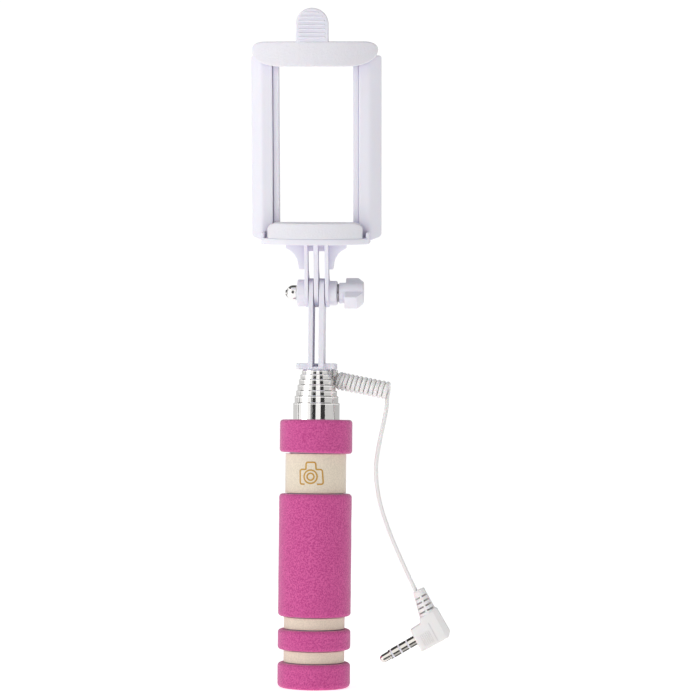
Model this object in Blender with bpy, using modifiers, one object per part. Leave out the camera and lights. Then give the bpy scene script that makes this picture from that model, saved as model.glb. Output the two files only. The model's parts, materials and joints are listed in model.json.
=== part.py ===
"""A short telescopic selfie stick with a wired shutter button, standing on the end of its handle.

Metres. +Z runs up the stick, -Y is the side of the shutter button and of the phone, and +X is right.
The origin is on the axis of the stick, on the flat end of the handle.

The phone holder is modelled in its own frame, whose origin is on the fold axis: X along the fold
axis, -Y out of the holder towards the phone, and Z up the holder. In its comments and constants
"depth" is the distance in front of the fold axis, which is -Y there.
"""

import math

import bmesh
import bpy
from mathutils import Matrix, Vector

MM = 0.001
SEGMENTS = 32

# Handle
FOAM_RADIUS = 13.25 * MM
BAND_RADIUS = 11.1 * MM
FOAM_BORE = 10.0 * MM
FOAM_EDGE = 1.2 * MM
FOAM_END_EDGE = 1.8 * MM
# Heights where one foam sleeve ends and the next begins, from the floor up.
FOAM_JOINTS = [z * MM for z in (0.0, 9.0, 13.5, 21.1, 25.6, 70.3, 84.9, 97.3)]
FOAM_NAMES = (
    "foam_end_ring",
    "foam_low_band",
    "foam_low_ring",
    "foam_mid_band",
    "foam_main_sleeve",
    "foam_button_band",
    "foam_top_ring",
)
CORE_RADIUS = 9.7 * MM
CORE_BORE = 8.8 * MM
CORE_BOTTOM = 3.3 * MM
PLUG_FLANGE = 3.0 * MM
PLUG_TOP = 8.0 * MM
PLUG_RADIUS = 9.6 * MM
TOUCH = 0.3 * MM

# Shutter button, in a window through the core
BUTTON_Z = 77.9 * MM
BUTTON_SIZE = (4.8 * MM, 10.6 * MM)
BUTTON_FRONT = 10.45 * MM
BUTTON_BACK = 9.95 * MM
WINDOW_SIZE = (6.4 * MM, 12.2 * MM)
POCKET_RADIUS = 10.68 * MM
BOARD_SIZE = (5.2 * MM, 10.6 * MM)
BOARD_DEPTH = (8.8 * MM, 9.15 * MM)
DOME_DEPTH = (9.25 * MM, 9.58 * MM)
DOME_RADIUS = 2.0 * MM

# Telescope: outer radius and top of each tube, from the widest to the narrowest
TUBE_RADII = [r * MM for r in (8.5, 8.0, 7.5, 7.0, 6.5, 6.0, 5.45)]
TUBE_TOPS = [z * MM for z in (103.5, 106.0, 108.0, 110.1, 112.1, 113.9, 115.4)]
TUBE_WALL = 0.25 * MM
TUBE_1_BOTTOM = 8.4 * MM
SLIDING_BOTTOM = 10.5 * MM
STAGGER = 4.0 * MM
GUIDE_FLANGE = 1.4 * MM
GUIDE_SPIGOT = 2.2 * MM
GUIDE_BORE = 3.3 * MM
LEAD_COIL_RADIUS = 2.9 * MM
LEAD_COIL_Z = (9.5 * MM, 106.0 * MM)

# Head
FLANGE_Z = (115.8 * MM, 117.9 * MM)
FLANGE_RADIUS = 7.5 * MM
FLANGE_HALF_DEPTH = 3.8 * MM
SPIGOT_BOTTOM = 107.0 * MM
GLAND_RADIUS = 0.75 * MM
FORK_INNER = 1.12 * MM
FORK_OUTER = 2.77 * MM
FORK_HALF_DEPTH = 5.0 * MM
PIVOT_Z = 143.8 * MM
HOLE_RADIUS = 1.8 * MM
BOLT_RADIUS = 1.45 * MM
BOLT_HEAD_RADIUS = 2.9 * MM
BOLT_HEAD_HEIGHT = 4.0 * MM
BOLT_END = 13.2 * MM
RECESS_ARM = 1.7 * MM
RECESS_HALF_WIDTH = 0.45 * MM
RECESS_DEPTH = 1.2 * MM

# Phone holder, in its own frame
TILT = math.radians(10)
CLEVIS_RADIUS = 5.2 * MM
MIDDLE_PRONG = 0.8 * MM
OUTER_PRONG = (3.07 * MM, 5.0 * MM)
PRONG_BEND = (8.2 * MM, 15.0 * MM)
WEB_Z = (15.8 * MM, 19.5 * MM)
GUSSET_DEPTH = (5.2 * MM, 7.5 * MM)
GUSSET_FOOT = 9.0 * MM
BOSS_END = 7.3 * MM
BOSS_RADII = (4.95 * MM, 4.5 * MM)
WASHER_X = (7.45 * MM, 7.85 * MM)
WASHER_RADIUS = 3.7 * MM
KNOB_X = (8.0 * MM, 16.9 * MM)
KNOB_RADIUS = 3.85 * MM
WING_START = 10.2 * MM
WING_HALF = 7.0 * MM
WING_HALF_THICKNESS = 2.5 * MM
WING_TURN = math.radians(25)
NUT_X = (8.2 * MM, 10.5 * MM)
NUT_RADIUS = 2.95 * MM
TRAY_Z = (18.9 * MM, 21.1 * MM)
TRAY_HALF = 19.6 * MM
TRAY_FRONT = 16.5 * MM
TRAY_END = 11.0 * MM
LIP_IN = 18.3 * MM
LIP_TOP = 23.2 * MM
RAIL_IN = 15.6 * MM
RAIL_OUT = 23.5 * MM
RAIL_FRONT = 6.6 * MM
RAIL_BOW = 12.0 * MM
RAIL_Z = (20.1 * MM, 86.4 * MM)
CHANNEL_X = (17.0 * MM, 20.8 * MM)
CHANNEL_DEPTH = (1.4 * MM, 4.3 * MM)
CHANNEL_BOTTOM = 22.6 * MM
SPRING_RADIUS = 1.1 * MM
SLOT_DEPTH = (2.4 * MM, 4.2 * MM)
LEG_X = (13.45 * MM, 15.3 * MM)
LEG_DEPTH = (1.0 * MM, 5.6 * MM)
LEG_BOTTOM = 21.4 * MM
RUNNER_Z = (44.5 * MM, 54.8 * MM)
PAD_DEPTH = 7.1 * MM
LOWER_PAD_Z = (21.4 * MM, 26.7 * MM)
LOWER_PAD_HALF = 17.2 * MM
UPPER_PAD_Z = (82.6 * MM, 89.7 * MM)
UPPER_PAD_HALF = 21.9 * MM
JAW_Z = (90.0 * MM, 92.0 * MM)
JAW_HALF = 22.2 * MM
TAB_HALF = 6.3 * MM
TAB_TOP = 103.2 * MM
TAB_DEPTH = (13.6 * MM, 16.4 * MM)

# Cord: the curly part, then the route of the straight part and the plug at its end
COIL_RADIUS = 3.35 * MM
COIL_START = (7.9 * MM, 2.5 * MM, 111.2 * MM)
COIL_END = (28.5 * MM, -2.0 * MM, 108.4 * MM)
LEAD_RADIUS = 0.75 * MM
LEAD_ROUTE = [
    (27.1, -1.7, 104.7),
    (26.3, -2.3, 101.0),
    (25.2, -3.0, 95.9),
    (24.0, -3.5, 89.7),
    (23.1, -3.8, 83.0),
    (22.9, -4.0, 77.5),
    (23.9, -4.0, 70.0),
    (26.1, -4.0, 61.6),
    (29.6, -4.0, 53.0),
    (33.4, -4.0, 44.9),
    (36.6, -4.0, 38.2),
    (38.2, -4.0, 34.9),
]
PLUG_FACE = (37.7 * MM, -4.0 * MM, 16.8 * MM)
PLUG_SLOPE = math.radians(28.2)
PLUG_THICKNESS = 6.8 * MM

# The plug's pin: its contacts are split by three insulating gaps
PIN_RADIUS = 1.75 * MM
PIN_LENGTH = 14.8 * MM
PIN_ROOT = -4.5 * MM
SLEEVE_END = 3.15 * MM
CONTACT_PITCH = 3.3 * MM
CONTACT_GAP = 0.9 * MM
CONTACT_BORE = 1.0 * MM
INSULATOR_RADIUS = 0.8 * MM
INSULATOR_RING = 1.7 * MM


def clear_scene():
    for item in list(bpy.data.objects):
        bpy.data.objects.remove(item, do_unlink=True)


def new_collection(name, hidden):
    group = bpy.data.collections.new(name)
    bpy.context.scene.collection.children.link(group)
    group.hide_render = hidden
    return group


def new_material(name, colour, roughness, metallic=0.0):
    made = bpy.data.materials.new(name)
    made.use_nodes = True
    shader = made.node_tree.nodes["Principled BSDF"]
    shader.inputs["Base Color"].default_value = (*colour, 1.0)
    shader.inputs["Roughness"].default_value = roughness
    shader.inputs["Metallic"].default_value = metallic
    return made


def move_to(item, group):
    for old in list(item.users_collection):
        old.objects.unlink(item)
    group.objects.link(item)


def smooth(item):
    item.data.shade_smooth()
    item.data.set_sharp_from_angle(angle=math.radians(35))


def part(item, name, look, parent=None):
    """Names the object, and puts it among the parts with its material."""
    item.name = name
    item.data.name = name
    item.data.materials.clear()
    item.data.materials.append(MATERIALS[look])
    item.parent = parent
    move_to(item, PARTS)
    if item.type == "MESH":
        smooth(item)
    return item


def cutter(item, parent=None):
    item.parent = parent
    item.hide_render = True
    item.display_type = "WIRE"
    move_to(item, CUTTERS)
    return item


def boolean(target, other, operation):
    """Cuts the other object from the target, or joins it on."""
    step = target.modifiers.new(operation.lower(), "BOOLEAN")
    step.operation = operation
    step.solver = "EXACT"
    step.object = cutter(other, other.parent)
    return step


def cut(target, *others):
    for other in others:
        boolean(target, other, "DIFFERENCE")


def join(target, *others):
    for other in others:
        boolean(target, other, "UNION")


def bevel(item, width, segments=2, angle=40):
    step = item.modifiers.new("bevel", "BEVEL")
    step.width = width
    step.segments = segments
    step.limit_method = "ANGLE"
    step.angle_limit = math.radians(angle)
    return step


def block(low, high, parent=None):
    """A box between two corners."""
    bpy.ops.mesh.primitive_cube_add(size=1.0)
    item = bpy.context.object
    low, high = Vector(low), Vector(high)
    item.data.transform(Matrix.Translation((low + high) / 2) @ Matrix.Diagonal((high - low).to_4d()))
    item.parent = parent
    return item


def rod(start, end, radius, parent=None, segments=SEGMENTS):
    """A round bar, or with few segments a prism, between two points."""
    start, end = Vector(start), Vector(end)
    bpy.ops.mesh.primitive_cylinder_add(vertices=segments, radius=radius, depth=(end - start).length)
    item = bpy.context.object
    aim = (end - start).to_track_quat("Z", "Y").to_matrix().to_4x4()
    item.data.transform(Matrix.Translation((start + end) / 2) @ aim)
    item.parent = parent
    return item


def turned(profile, segments=SEGMENTS, closed=True):
    """A profile of (radius, height) points, top first down its outer side, turned about the Z axis."""
    mesh = bpy.data.meshes.new("turned")
    count = len(profile)
    edges = [(i, i + 1) for i in range(count - 1)]
    if closed:
        edges.append((count - 1, 0))
    mesh.from_pydata([(r, 0.0, z) for r, z in profile], edges, [])
    item = bpy.data.objects.new("turned", mesh)
    bpy.context.scene.collection.objects.link(item)
    screw = item.modifiers.new("screw", "SCREW")
    screw.steps = segments
    screw.render_steps = segments
    screw.use_merge_vertices = True
    screw.merge_threshold = 1e-6
    return item


def as_mesh(item):
    """A copy of the evaluated object as one plain mesh, in its own frame, with its points welded."""
    bpy.context.view_layer.update()
    graph = bpy.context.evaluated_depsgraph_get()
    mesh = bpy.data.meshes.new_from_object(item.evaluated_get(graph))
    made = bpy.data.objects.new(item.name, mesh)
    bpy.context.scene.collection.objects.link(made)
    made.matrix_world = item.matrix_world
    bpy.data.objects.remove(item, do_unlink=True)
    body = bmesh.new()
    body.from_mesh(mesh)
    bmesh.ops.remove_doubles(body, verts=body.verts, dist=1e-6)
    bmesh.ops.recalc_face_normals(body, faces=body.faces)
    body.to_mesh(mesh)
    body.free()
    return made


# How an outline's own axes lie: in plan, seen from the side (Y, Z), and seen from the front (X, Z)
PLAN = Matrix.Identity(4)
SIDE = Matrix(((0, 0, 1, 0), (1, 0, 0, 0), (0, 1, 0, 0), (0, 0, 0, 1)))
FRONT = Matrix(((1, 0, 0, 0), (0, 0, -1, 0), (0, 1, 0, 0), (0, 0, 0, 1)))


def plate(outline, low, high, view, parent=None):
    """A flat outline given thickness between two values along the direction it is seen from.

    PLAN runs along +Z, SIDE along +X and FRONT along -Y.
    """
    data = bpy.data.curves.new("plate", "CURVE")
    data.dimensions = "2D"
    data.fill_mode = "BOTH"
    data.extrude = (high - low) / 2
    line = data.splines.new("POLY")
    line.points.add(len(outline) - 1)
    for point, (x, y) in zip(line.points, outline):
        point.co = (x, y, 0.0, 1.0)
    line.use_cyclic_u = True
    item = bpy.data.objects.new("plate", data)
    bpy.context.scene.collection.objects.link(item)
    made = as_mesh(item)
    made.data.transform(view @ Matrix.Translation((0, 0, (low + high) / 2)))
    made.parent = parent
    return made


def arc(centre, radius, start, end, count):
    """Points along an arc, from one angle in degrees to another."""
    angles = [math.radians(start + (end - start) * i / count) for i in range(count + 1)]
    return [(centre[0] + radius * math.cos(a), centre[1] + radius * math.sin(a)) for a in angles]


def mirrored(outline):
    return [(-x, y) for x, y in reversed(outline)]


def smooth_route(points, spacing):
    """Points at an even spacing along the smooth curve through a route's own points."""
    route = [Vector(p) for p in points]
    ends = [2 * route[0] - route[1], *route, 2 * route[-1] - route[-2]]
    dense = []
    for a, b, c, d in zip(ends, ends[1:], ends[2:], ends[3:]):
        for step in range(20):
            t = step / 20
            dense.append(
                0.5 * (2 * b + (c - a) * t + (2 * a - 5 * b + 4 * c - d) * t**2
                       + (3 * b - a - 3 * c + d) * t**3)
            )
    dense.append(route[-1])
    lengths = [0.0]
    for a, b in zip(dense, dense[1:]):
        lengths.append(lengths[-1] + (b - a).length)
    count = max(2, round(lengths[-1] / spacing))
    picked, index = [], 0
    for i in range(count + 1):
        wanted = lengths[-1] * i / count
        while index < len(dense) - 2 and lengths[index + 1] < wanted:
            index += 1
        share = (wanted - lengths[index]) / (lengths[index + 1] - lengths[index])
        picked.append(dense[index].lerp(dense[index + 1], min(share, 1.0)))
    return picked


def tube(points, radius, sides=2):
    """A closed round tube along a list of points."""
    data = bpy.data.curves.new("tube", "CURVE")
    data.dimensions = "3D"
    data.bevel_depth = radius
    data.bevel_resolution = sides
    data.use_fill_caps = True
    line = data.splines.new("POLY")
    line.points.add(len(points) - 1)
    for point, place in zip(line.points, points):
        point.co = (*place, 1.0)
    item = bpy.data.objects.new("tube", data)
    bpy.context.scene.collection.objects.link(item)
    return item


# ---------------------------------------------------------------- handle


def foam_sleeve(index):
    """One foam sleeve: the odd ones are the slimmer bands."""
    low, high = FOAM_JOINTS[index], FOAM_JOINTS[index + 1]
    bottom = low + (TOUCH if index else 0.0)
    slim = index % 2 == 1
    radius = BAND_RADIUS if slim else FOAM_RADIUS
    edge = 0.0 if slim else FOAM_EDGE
    foot = FOAM_END_EDGE if index == 0 else edge
    outer = [(radius, high - edge), (radius, bottom + foot)]
    if edge:
        outer.insert(0, (radius - 0.35 * edge, high - 0.35 * edge))
        outer.insert(0, (radius - edge, high))
        outer.append((radius - 0.35 * foot, bottom + 0.35 * foot))
        outer.append((radius - foot, bottom))
    return turned([*outer, (FOAM_BORE, bottom), (FOAM_BORE, high)])


def shutter_window(radius, width, height, depth):
    """The space in front of a flat back at the given depth, as far out as a radius."""
    low_z, high_z = BUTTON_Z - height / 2, BUTTON_Z + height / 2
    item = rod((0, 0, low_z), (0, 0, high_z), radius)
    sides = block((-width / 2, -2 * radius, low_z - MM), (width / 2, -depth, high_z + MM))
    step = boolean(item, sides, "INTERSECT")
    step.name = "sides"
    return item


def make_handle():
    for index, name in enumerate(FOAM_NAMES):
        look = "cream_foam" if index % 2 else "pink_foam"
        sleeve = part(foam_sleeve(index), name, look)
        if name == "foam_button_band":
            gap = 2 * TOUCH
            cut(sleeve, shutter_window(POCKET_RADIUS, BUTTON_SIZE[0] + gap, BUTTON_SIZE[1] + gap, 9 * MM))

    core = turned(
        [
            (CORE_RADIUS, FOAM_JOINTS[-1]),
            (CORE_RADIUS, CORE_BOTTOM),
            (CORE_BORE, CORE_BOTTOM),
            (CORE_BORE, FOAM_JOINTS[-1]),
        ]
    )
    width, height = WINDOW_SIZE
    window = block(
        (-width / 2, -2 * CORE_RADIUS, BUTTON_Z - height / 2), (width / 2, -7 * MM, BUTTON_Z + height / 2)
    )
    cut(part(core, "grip_core", "white_plastic"), window)

    spigot = CORE_BORE - TOUCH
    plug = turned(
        [
            (0.0, PLUG_TOP),
            (spigot, PLUG_TOP),
            (spigot, PLUG_FLANGE),
            (PLUG_RADIUS, PLUG_FLANGE),
            (PLUG_RADIUS, 0.0),
            (0.0, 0.0),
        ],
        closed=False,
    )
    part(plug, "end_plug", "white_plastic")
    make_switch()


def make_switch():
    half_width, half_height = BOARD_SIZE[0] / 2, BOARD_SIZE[1] / 2
    near, far = BOARD_DEPTH
    low, high = BUTTON_Z - half_height, BUTTON_Z + half_height
    part(block((-half_width, -far, low), (half_width, -near, high)), "switch_board", "green_board")
    near, far = DOME_DEPTH
    dome = rod((0, -near, BUTTON_Z), (0, -far, BUTTON_Z), DOME_RADIUS, segments=20)
    part(dome, "dome_switch", "steel")
    button = shutter_window(BUTTON_FRONT, *BUTTON_SIZE, BUTTON_BACK)
    part(button, "shutter_button", "white_plastic")


# ---------------------------------------------------------------- telescope


def tube_bottom(index):
    return TUBE_1_BOTTOM if index == 0 else SLIDING_BOTTOM + (index - 1) * STAGGER


def make_tube(index):
    """A thin tube, with its top end crimped in towards the next one."""
    radius, top, low = TUBE_RADII[index], TUBE_TOPS[index], tube_bottom(index)
    inside = radius - TUBE_WALL
    lip = inside - 0.12 * MM
    profile = [
        (radius - 0.2 * MM, top),
        (radius, top - 0.5 * MM),
        (radius, low),
        (inside, low),
        (inside, top - 0.7 * MM),
        (lip, top - 0.3 * MM),
        (lip, top),
    ]
    part(turned(profile), f"tube_{index + 1}", "chrome")


def make_guide(index):
    """The plug at the foot of a sliding tube: a flange that fills the tube outside it, and a spigot."""
    low = tube_bottom(index)
    flange = TUBE_RADII[index - 1] - TUBE_WALL - 0.1 * MM
    spigot = TUBE_RADII[index] - TUBE_WALL - 0.12 * MM
    seat = low - 0.1 * MM
    profile = [
        (GUIDE_BORE, low + GUIDE_SPIGOT),
        (spigot, low + GUIDE_SPIGOT),
        (spigot, seat),
        (flange, seat),
        (flange, seat - GUIDE_FLANGE),
        (GUIDE_BORE, seat - GUIDE_FLANGE),
    ]
    part(turned(profile), f"guide_{index + 1}", "grey_plastic")


def make_telescope():
    for index in range(len(TUBE_RADII)):
        make_tube(index)
        if index:
            make_guide(index)
    low, high = LEAD_COIL_Z
    part(rod((0, 0, low), (0, 0, high), LEAD_COIL_RADIUS, segments=16), "inner_lead", "white_rubber")


# ---------------------------------------------------------------- head


def flange_outline():
    """The flange in plan: round ends, flat front and back, and a notch between the prongs."""
    reach = math.degrees(math.asin(FLANGE_HALF_DEPTH / FLANGE_RADIUS))
    notch, depth = FORK_INNER, 1.6 * MM
    right = arc((0, 0), FLANGE_RADIUS, -reach, reach, 8)
    front = [(-notch, -FLANGE_HALF_DEPTH), (-notch, -depth), (notch, -depth), (notch, -FLANGE_HALF_DEPTH)]
    back = [(-x, -y) for x, y in front]
    return [*front, *right, *back, *[(-x, -y) for x, y in right]]


def fork_outline():
    """A prong of the fork seen from the side: straight, with a round top about the fold axis."""
    half = FORK_HALF_DEPTH
    low = FLANGE_Z[0] + 0.2 * MM
    return [(-half, low), (half, low), *arc((0, PIVOT_Z), half, 0, 180, 12)]


def make_fork_cap():
    cap = plate(flange_outline(), *FLANGE_Z, PLAN)
    part(cap, "fork_cap", "white_plastic")
    spigot = TUBE_RADII[-1] - TUBE_WALL - TOUCH
    join(cap, rod((0, 0, SPIGOT_BOTTOM), (0, 0, FLANGE_Z[0] + 0.8 * MM), spigot))
    for side in (-1, 1):
        low, high = sorted((side * FORK_INNER, side * FORK_OUTER))
        join(cap, plate(fork_outline(), low, high, SIDE))
    span = 6 * MM
    cut(cap, rod((-span, 0, PIVOT_Z), (span, 0, PIVOT_Z), HOLE_RADIUS, segments=24))


def make_gland():
    """The grommet under the flange's right end, where the cord leaves the head."""
    x, y = 6.3 * MM, 2.9 * MM
    low, high = FLANGE_Z[0] - 2.6 * MM, FLANGE_Z[0] - 0.3 * MM
    part(rod((x, y, low), (x, y, high), GLAND_RADIUS, segments=12), "cord_gland", "white_rubber")


# ---------------------------------------------------------------- fold


def make_pivot(holder):
    seat = -BOSS_END - TOUCH
    radius, height = BOLT_HEAD_RADIUS, BOLT_HEAD_HEIGHT
    dome = reversed(arc((0, height - radius), radius, 12, 78, 5))
    profile = [(0.0, height), *dome, (radius, height - radius), (radius, 0.0), (0.0, 0.0)]
    bolt = as_mesh(turned(profile, segments=24, closed=False))
    bolt.data.transform(Matrix.Translation((seat, 0, 0)) @ Matrix.Rotation(-math.pi / 2, 4, "Y"))
    part(bolt, "pivot_bolt", "chrome", holder)
    join(bolt, rod((seat - 0.5 * MM, 0, 0), (BOLT_END, 0, 0), BOLT_RADIUS, holder, segments=16))
    arm, bite = RECESS_ARM, RECESS_HALF_WIDTH
    tip = seat - height - MM
    floor = seat - height + RECESS_DEPTH
    cut(bolt, block((tip, -arm, -bite), (floor, arm, bite), holder))
    cut(bolt, block((tip, -bite, -arm), (floor, bite, arm), holder))

    near, far = WASHER_X
    washer = rod((near, 0, 0), (far, 0, 0), WASHER_RADIUS, holder, segments=24)
    cut(washer, rod((near - MM, 0, 0), (far + MM, 0, 0), HOLE_RADIUS, holder, segments=24))
    part(washer, "knob_washer", "steel", holder)


def wing_outline():
    """The knob's wing seen along the fold axis."""
    edge = 0.5 * MM
    corner = arc((WING_HALF - edge, WING_HALF_THICKNESS - edge), edge, 90, 0, 3)
    right = [*corner, *[(x, -y) for x, y in reversed(corner)]]
    return [*right, *[(-x, -y) for x, y in right]]


def make_knob(holder):
    start, end = KNOB_X
    knob = rod((start, 0, 0), (end, 0, 0), KNOB_RADIUS, holder)
    part(knob, "fold_knob", "white_plastic", holder)
    wing = plate(list(reversed(wing_outline())), WING_START, end, SIDE)
    wing.data.transform(Matrix.Rotation(WING_TURN, 4, "X"))
    wing.parent = holder
    slope = as_mesh(turned([(9 * MM, 0.0), (9 * MM, -3.8 * MM), (4.2 * MM, 0.0)]))
    slope.data.transform(Matrix.Translation((end + 0.2 * MM, 0, 0)) @ Matrix.Rotation(math.pi / 2, 4, "Y"))
    slope.parent = holder
    cut(wing, slope)
    join(knob, wing)
    low, high = NUT_X
    cut(knob, rod((start - MM, 0, 0), (high + 0.4 * MM, 0, 0), NUT_RADIUS + 0.35 * MM, holder, segments=6))
    cut(knob, rod((start - MM, 0, 0), (BOLT_END + 1.2 * MM, 0, 0), HOLE_RADIUS, holder, segments=24))

    nut = rod((low, 0, 0), (high, 0, 0), NUT_RADIUS, holder, segments=6)
    cut(nut, rod((low - MM, 0, 0), (high + MM, 0, 0), HOLE_RADIUS, holder, segments=24))
    part(nut, "knob_nut", "brass", holder)


# ---------------------------------------------------------------- phone holder


def bowed(half, front, end, count, back):
    """A plan outline with a bowed front edge and straight back, front towards -Y."""
    sagitta = front - end
    radius = (half**2 + sagitta**2) / (2 * sagitta)
    reach = math.degrees(math.asin(half / radius))
    centre = (0.0, -(front - radius))
    return [*arc(centre, radius, 270 - reach, 270 + reach, count), (half, -back), (-half, -back)]


def rail_outline():
    """The right rail in plan: its front bows back towards the outer side."""
    width = RAIL_OUT - RAIL_IN
    reach = math.degrees(math.asin(width / RAIL_BOW))
    front = arc((RAIL_IN, -(RAIL_FRONT - RAIL_BOW)), RAIL_BOW, 270, 270 + reach, 6)
    back = 0.6 * MM
    return [*front, (RAIL_OUT, -back), (RAIL_OUT - back, 0.0), (RAIL_IN, 0.0)]


def clevis_outline():
    """A clevis prong seen from the side: round about the fold axis, and reaching forward at the tray."""
    top = TRAY_Z[0] + 0.8 * MM
    depth, bend = PRONG_BEND
    round_end = arc((0, 0), CLEVIS_RADIUS, 21, -170, 16)
    return [(-2.0 * MM, top), *round_end, (-depth, bend), (-depth - 2 * MM, top)]


def gusset_outline():
    """The right gusset seen from the front, with its hollow curved edge."""
    top = TRAY_Z[0] + 0.8 * MM
    curve = arc((13.4 * MM, 10.0 * MM), 7.2 * MM, 112, 180, 8)
    foot = GUSSET_FOOT
    return [(4.0 * MM, foot), (4.0 * MM, top), (10.9 * MM, top), *curve, (5.9 * MM, foot)]


def make_frame(holder):
    tray = bowed(TRAY_HALF, TRAY_FRONT, TRAY_END, 12, 1.0 * MM)
    frame = plate(tray, *TRAY_Z, PLAN, holder)
    part(frame, "holder_frame", "white_plastic", holder)
    room = FORK_HALF_DEPTH + TOUCH
    notch = 7.0 * MM
    cut(frame, block((-notch, -room, 0), (notch, 0, TRAY_Z[1] + MM), holder))

    for outline in (rail_outline(), mirrored(rail_outline())):
        join(frame, plate(outline, *RAIL_Z, PLAN, holder))
    for side in (-1, 1):
        low, high = sorted((side * LIP_IN, side * TRAY_HALF))
        lip = (TRAY_END - 0.1 * MM, RAIL_FRONT - MM)
        join(frame, block((low, -lip[0], TRAY_Z[0] + MM), (high, -lip[1], LIP_TOP), holder))
    low, high = OUTER_PRONG
    for span in ((-high, -low), (-MIDDLE_PRONG, MIDDLE_PRONG), (low, high)):
        join(frame, plate(clevis_outline(), *span, SIDE, holder))
    skirt = OUTER_PRONG[1] - 0.5 * MM
    join(frame, block((-skirt, -room - 1.3 * MM, WEB_Z[0]), (skirt, -room, WEB_Z[1]), holder))
    for outline in (gusset_outline(), mirrored(gusset_outline())):
        join(frame, plate(outline, *GUSSET_DEPTH, FRONT, holder))
    join(frame, rod((-BOSS_END, 0, 0), (-high + 0.4 * MM, 0, 0), BOSS_RADII[0], holder))
    join(frame, rod((high - 0.4 * MM, 0, 0), (BOSS_END, 0, 0), BOSS_RADII[1], holder))
    span = BOSS_END + MM
    cut(frame, rod((-span, 0, 0), (span, 0, 0), HOLE_RADIUS, holder, segments=24))

    top = RAIL_Z[1] + MM
    for side in (-1, 1):
        low, high = sorted((side * CHANNEL_X[0], side * CHANNEL_X[1]))
        channel = block((low, -CHANNEL_DEPTH[1], CHANNEL_BOTTOM), (high, -CHANNEL_DEPTH[0], top), holder)
        low, high = sorted((side * (RAIL_IN - MM), side * (CHANNEL_X[0] + TOUCH)))
        slot = block((low, -SLOT_DEPTH[1], CHANNEL_BOTTOM), (high, -SLOT_DEPTH[0], top), holder)
        join(channel, slot)
        cut(frame, channel)


def make_rail_parts(holder):
    for side, name in ((-1, "left"), (1, "right")):
        gap = 0.15 * MM
        low, high = sorted((side * (CHANNEL_X[0] + 2 * gap), side * (CHANNEL_X[1] - gap)))
        cap = block(
            (low, -CHANNEL_DEPTH[1] + gap, RAIL_Z[1] - 1.5 * MM),
            (high, -CHANNEL_DEPTH[0] - gap, RAIL_Z[1]),
            holder,
        )
        part(cap, f"rail_cap_{name}", "white_plastic", holder)
        middle = side * (CHANNEL_X[0] + CHANNEL_X[1]) / 2
        depth = (CHANNEL_DEPTH[0] + CHANNEL_DEPTH[1]) / 2
        foot, end = CHANNEL_BOTTOM + TOUCH, RUNNER_Z[0] - TOUCH
        spring = rod((middle, -depth, foot), (middle, -depth, end), SPRING_RADIUS, holder, 12)
        part(spring, f"spring_{name}", "steel", holder)


def pad(half, front, span, holder):
    body = plate(bowed(half, front, TRAY_END - 0.8 * MM, 10, PAD_DEPTH), *span, PLAN, holder)
    bevel(body, 1.0 * MM)
    return body


def tab_outline():
    low = JAW_Z[0] + 0.3 * MM
    return [(-TAB_HALF, low), (TAB_HALF, low), *arc((0, TAB_TOP - TAB_HALF), TAB_HALF, 0, 180, 14)]


def make_upper_jaw(holder):
    jaw = plate(bowed(JAW_HALF, TRAY_FRONT, TRAY_END, 12, 1.0 * MM), *JAW_Z, PLAN, holder)
    part(jaw, "upper_jaw", "white_plastic", holder)
    join(jaw, plate(tab_outline(), *TAB_DEPTH, FRONT, holder))
    for side in (-1, 1):
        low, high = sorted((side * LEG_X[0], side * LEG_X[1]))
        top = JAW_Z[0] + 0.9 * MM
        join(jaw, block((low, -LEG_DEPTH[1], LEG_BOTTOM), (high, -LEG_DEPTH[0], top), holder))
        foot, top = RUNNER_Z
        near, far = SLOT_DEPTH[0] + TOUCH, SLOT_DEPTH[1] - TOUCH
        low, high = sorted((side * (LEG_X[1] - 0.3 * MM), side * (CHANNEL_X[0] + 0.6 * MM)))
        join(jaw, block((low, -far, foot), (high, -near, top), holder))
        foot, top = foot + 0.1 * MM, top - 0.1 * MM
        near, far = CHANNEL_DEPTH[0] + TOUCH, CHANNEL_DEPTH[1] - TOUCH
        low, high = sorted((side * (CHANNEL_X[0] + TOUCH), side * (CHANNEL_X[1] - TOUCH)))
        join(jaw, block((low, -far, foot), (high, -near, top), holder))


def make_holder():
    holder = bpy.data.objects.new("holder_axis", None)
    holder.location = (0, 0, PIVOT_Z)
    holder.rotation_euler = (TILT, 0, 0)
    PARTS.objects.link(holder)
    make_pivot(holder)
    make_knob(holder)
    make_frame(holder)
    make_rail_parts(holder)
    part(pad(LOWER_PAD_HALF, TRAY_FRONT - 0.3 * MM, LOWER_PAD_Z, holder), "lower_pad", "soft_pad", holder)
    make_upper_jaw(holder)
    part(pad(UPPER_PAD_HALF, TRAY_FRONT - 0.3 * MM, UPPER_PAD_Z, holder), "upper_pad", "soft_pad", holder)


# ---------------------------------------------------------------- cord


def make_cord():
    part(as_mesh(tube([COIL_START, COIL_END], COIL_RADIUS, 4)), "cord_coil", "white_rubber")
    route = smooth_route([Vector(p) * MM for p in LEAD_ROUTE], 2.5 * 2 * LEAD_RADIUS)
    part(tube(route, LEAD_RADIUS), "cord_lead", "white_rubber")


def plug_frame():
    """The plug's frame: X out along the pin, Z towards the cord, origin in the face the pin leaves."""
    out = Vector((-math.cos(PLUG_SLOPE), 0, -math.sin(PLUG_SLOPE)))
    side = Vector((0, -1, 0))
    up = out.cross(side)
    turn = Matrix((out, side, up)).transposed().to_4x4()
    return Matrix.Translation(PLUG_FACE) @ turn


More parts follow.
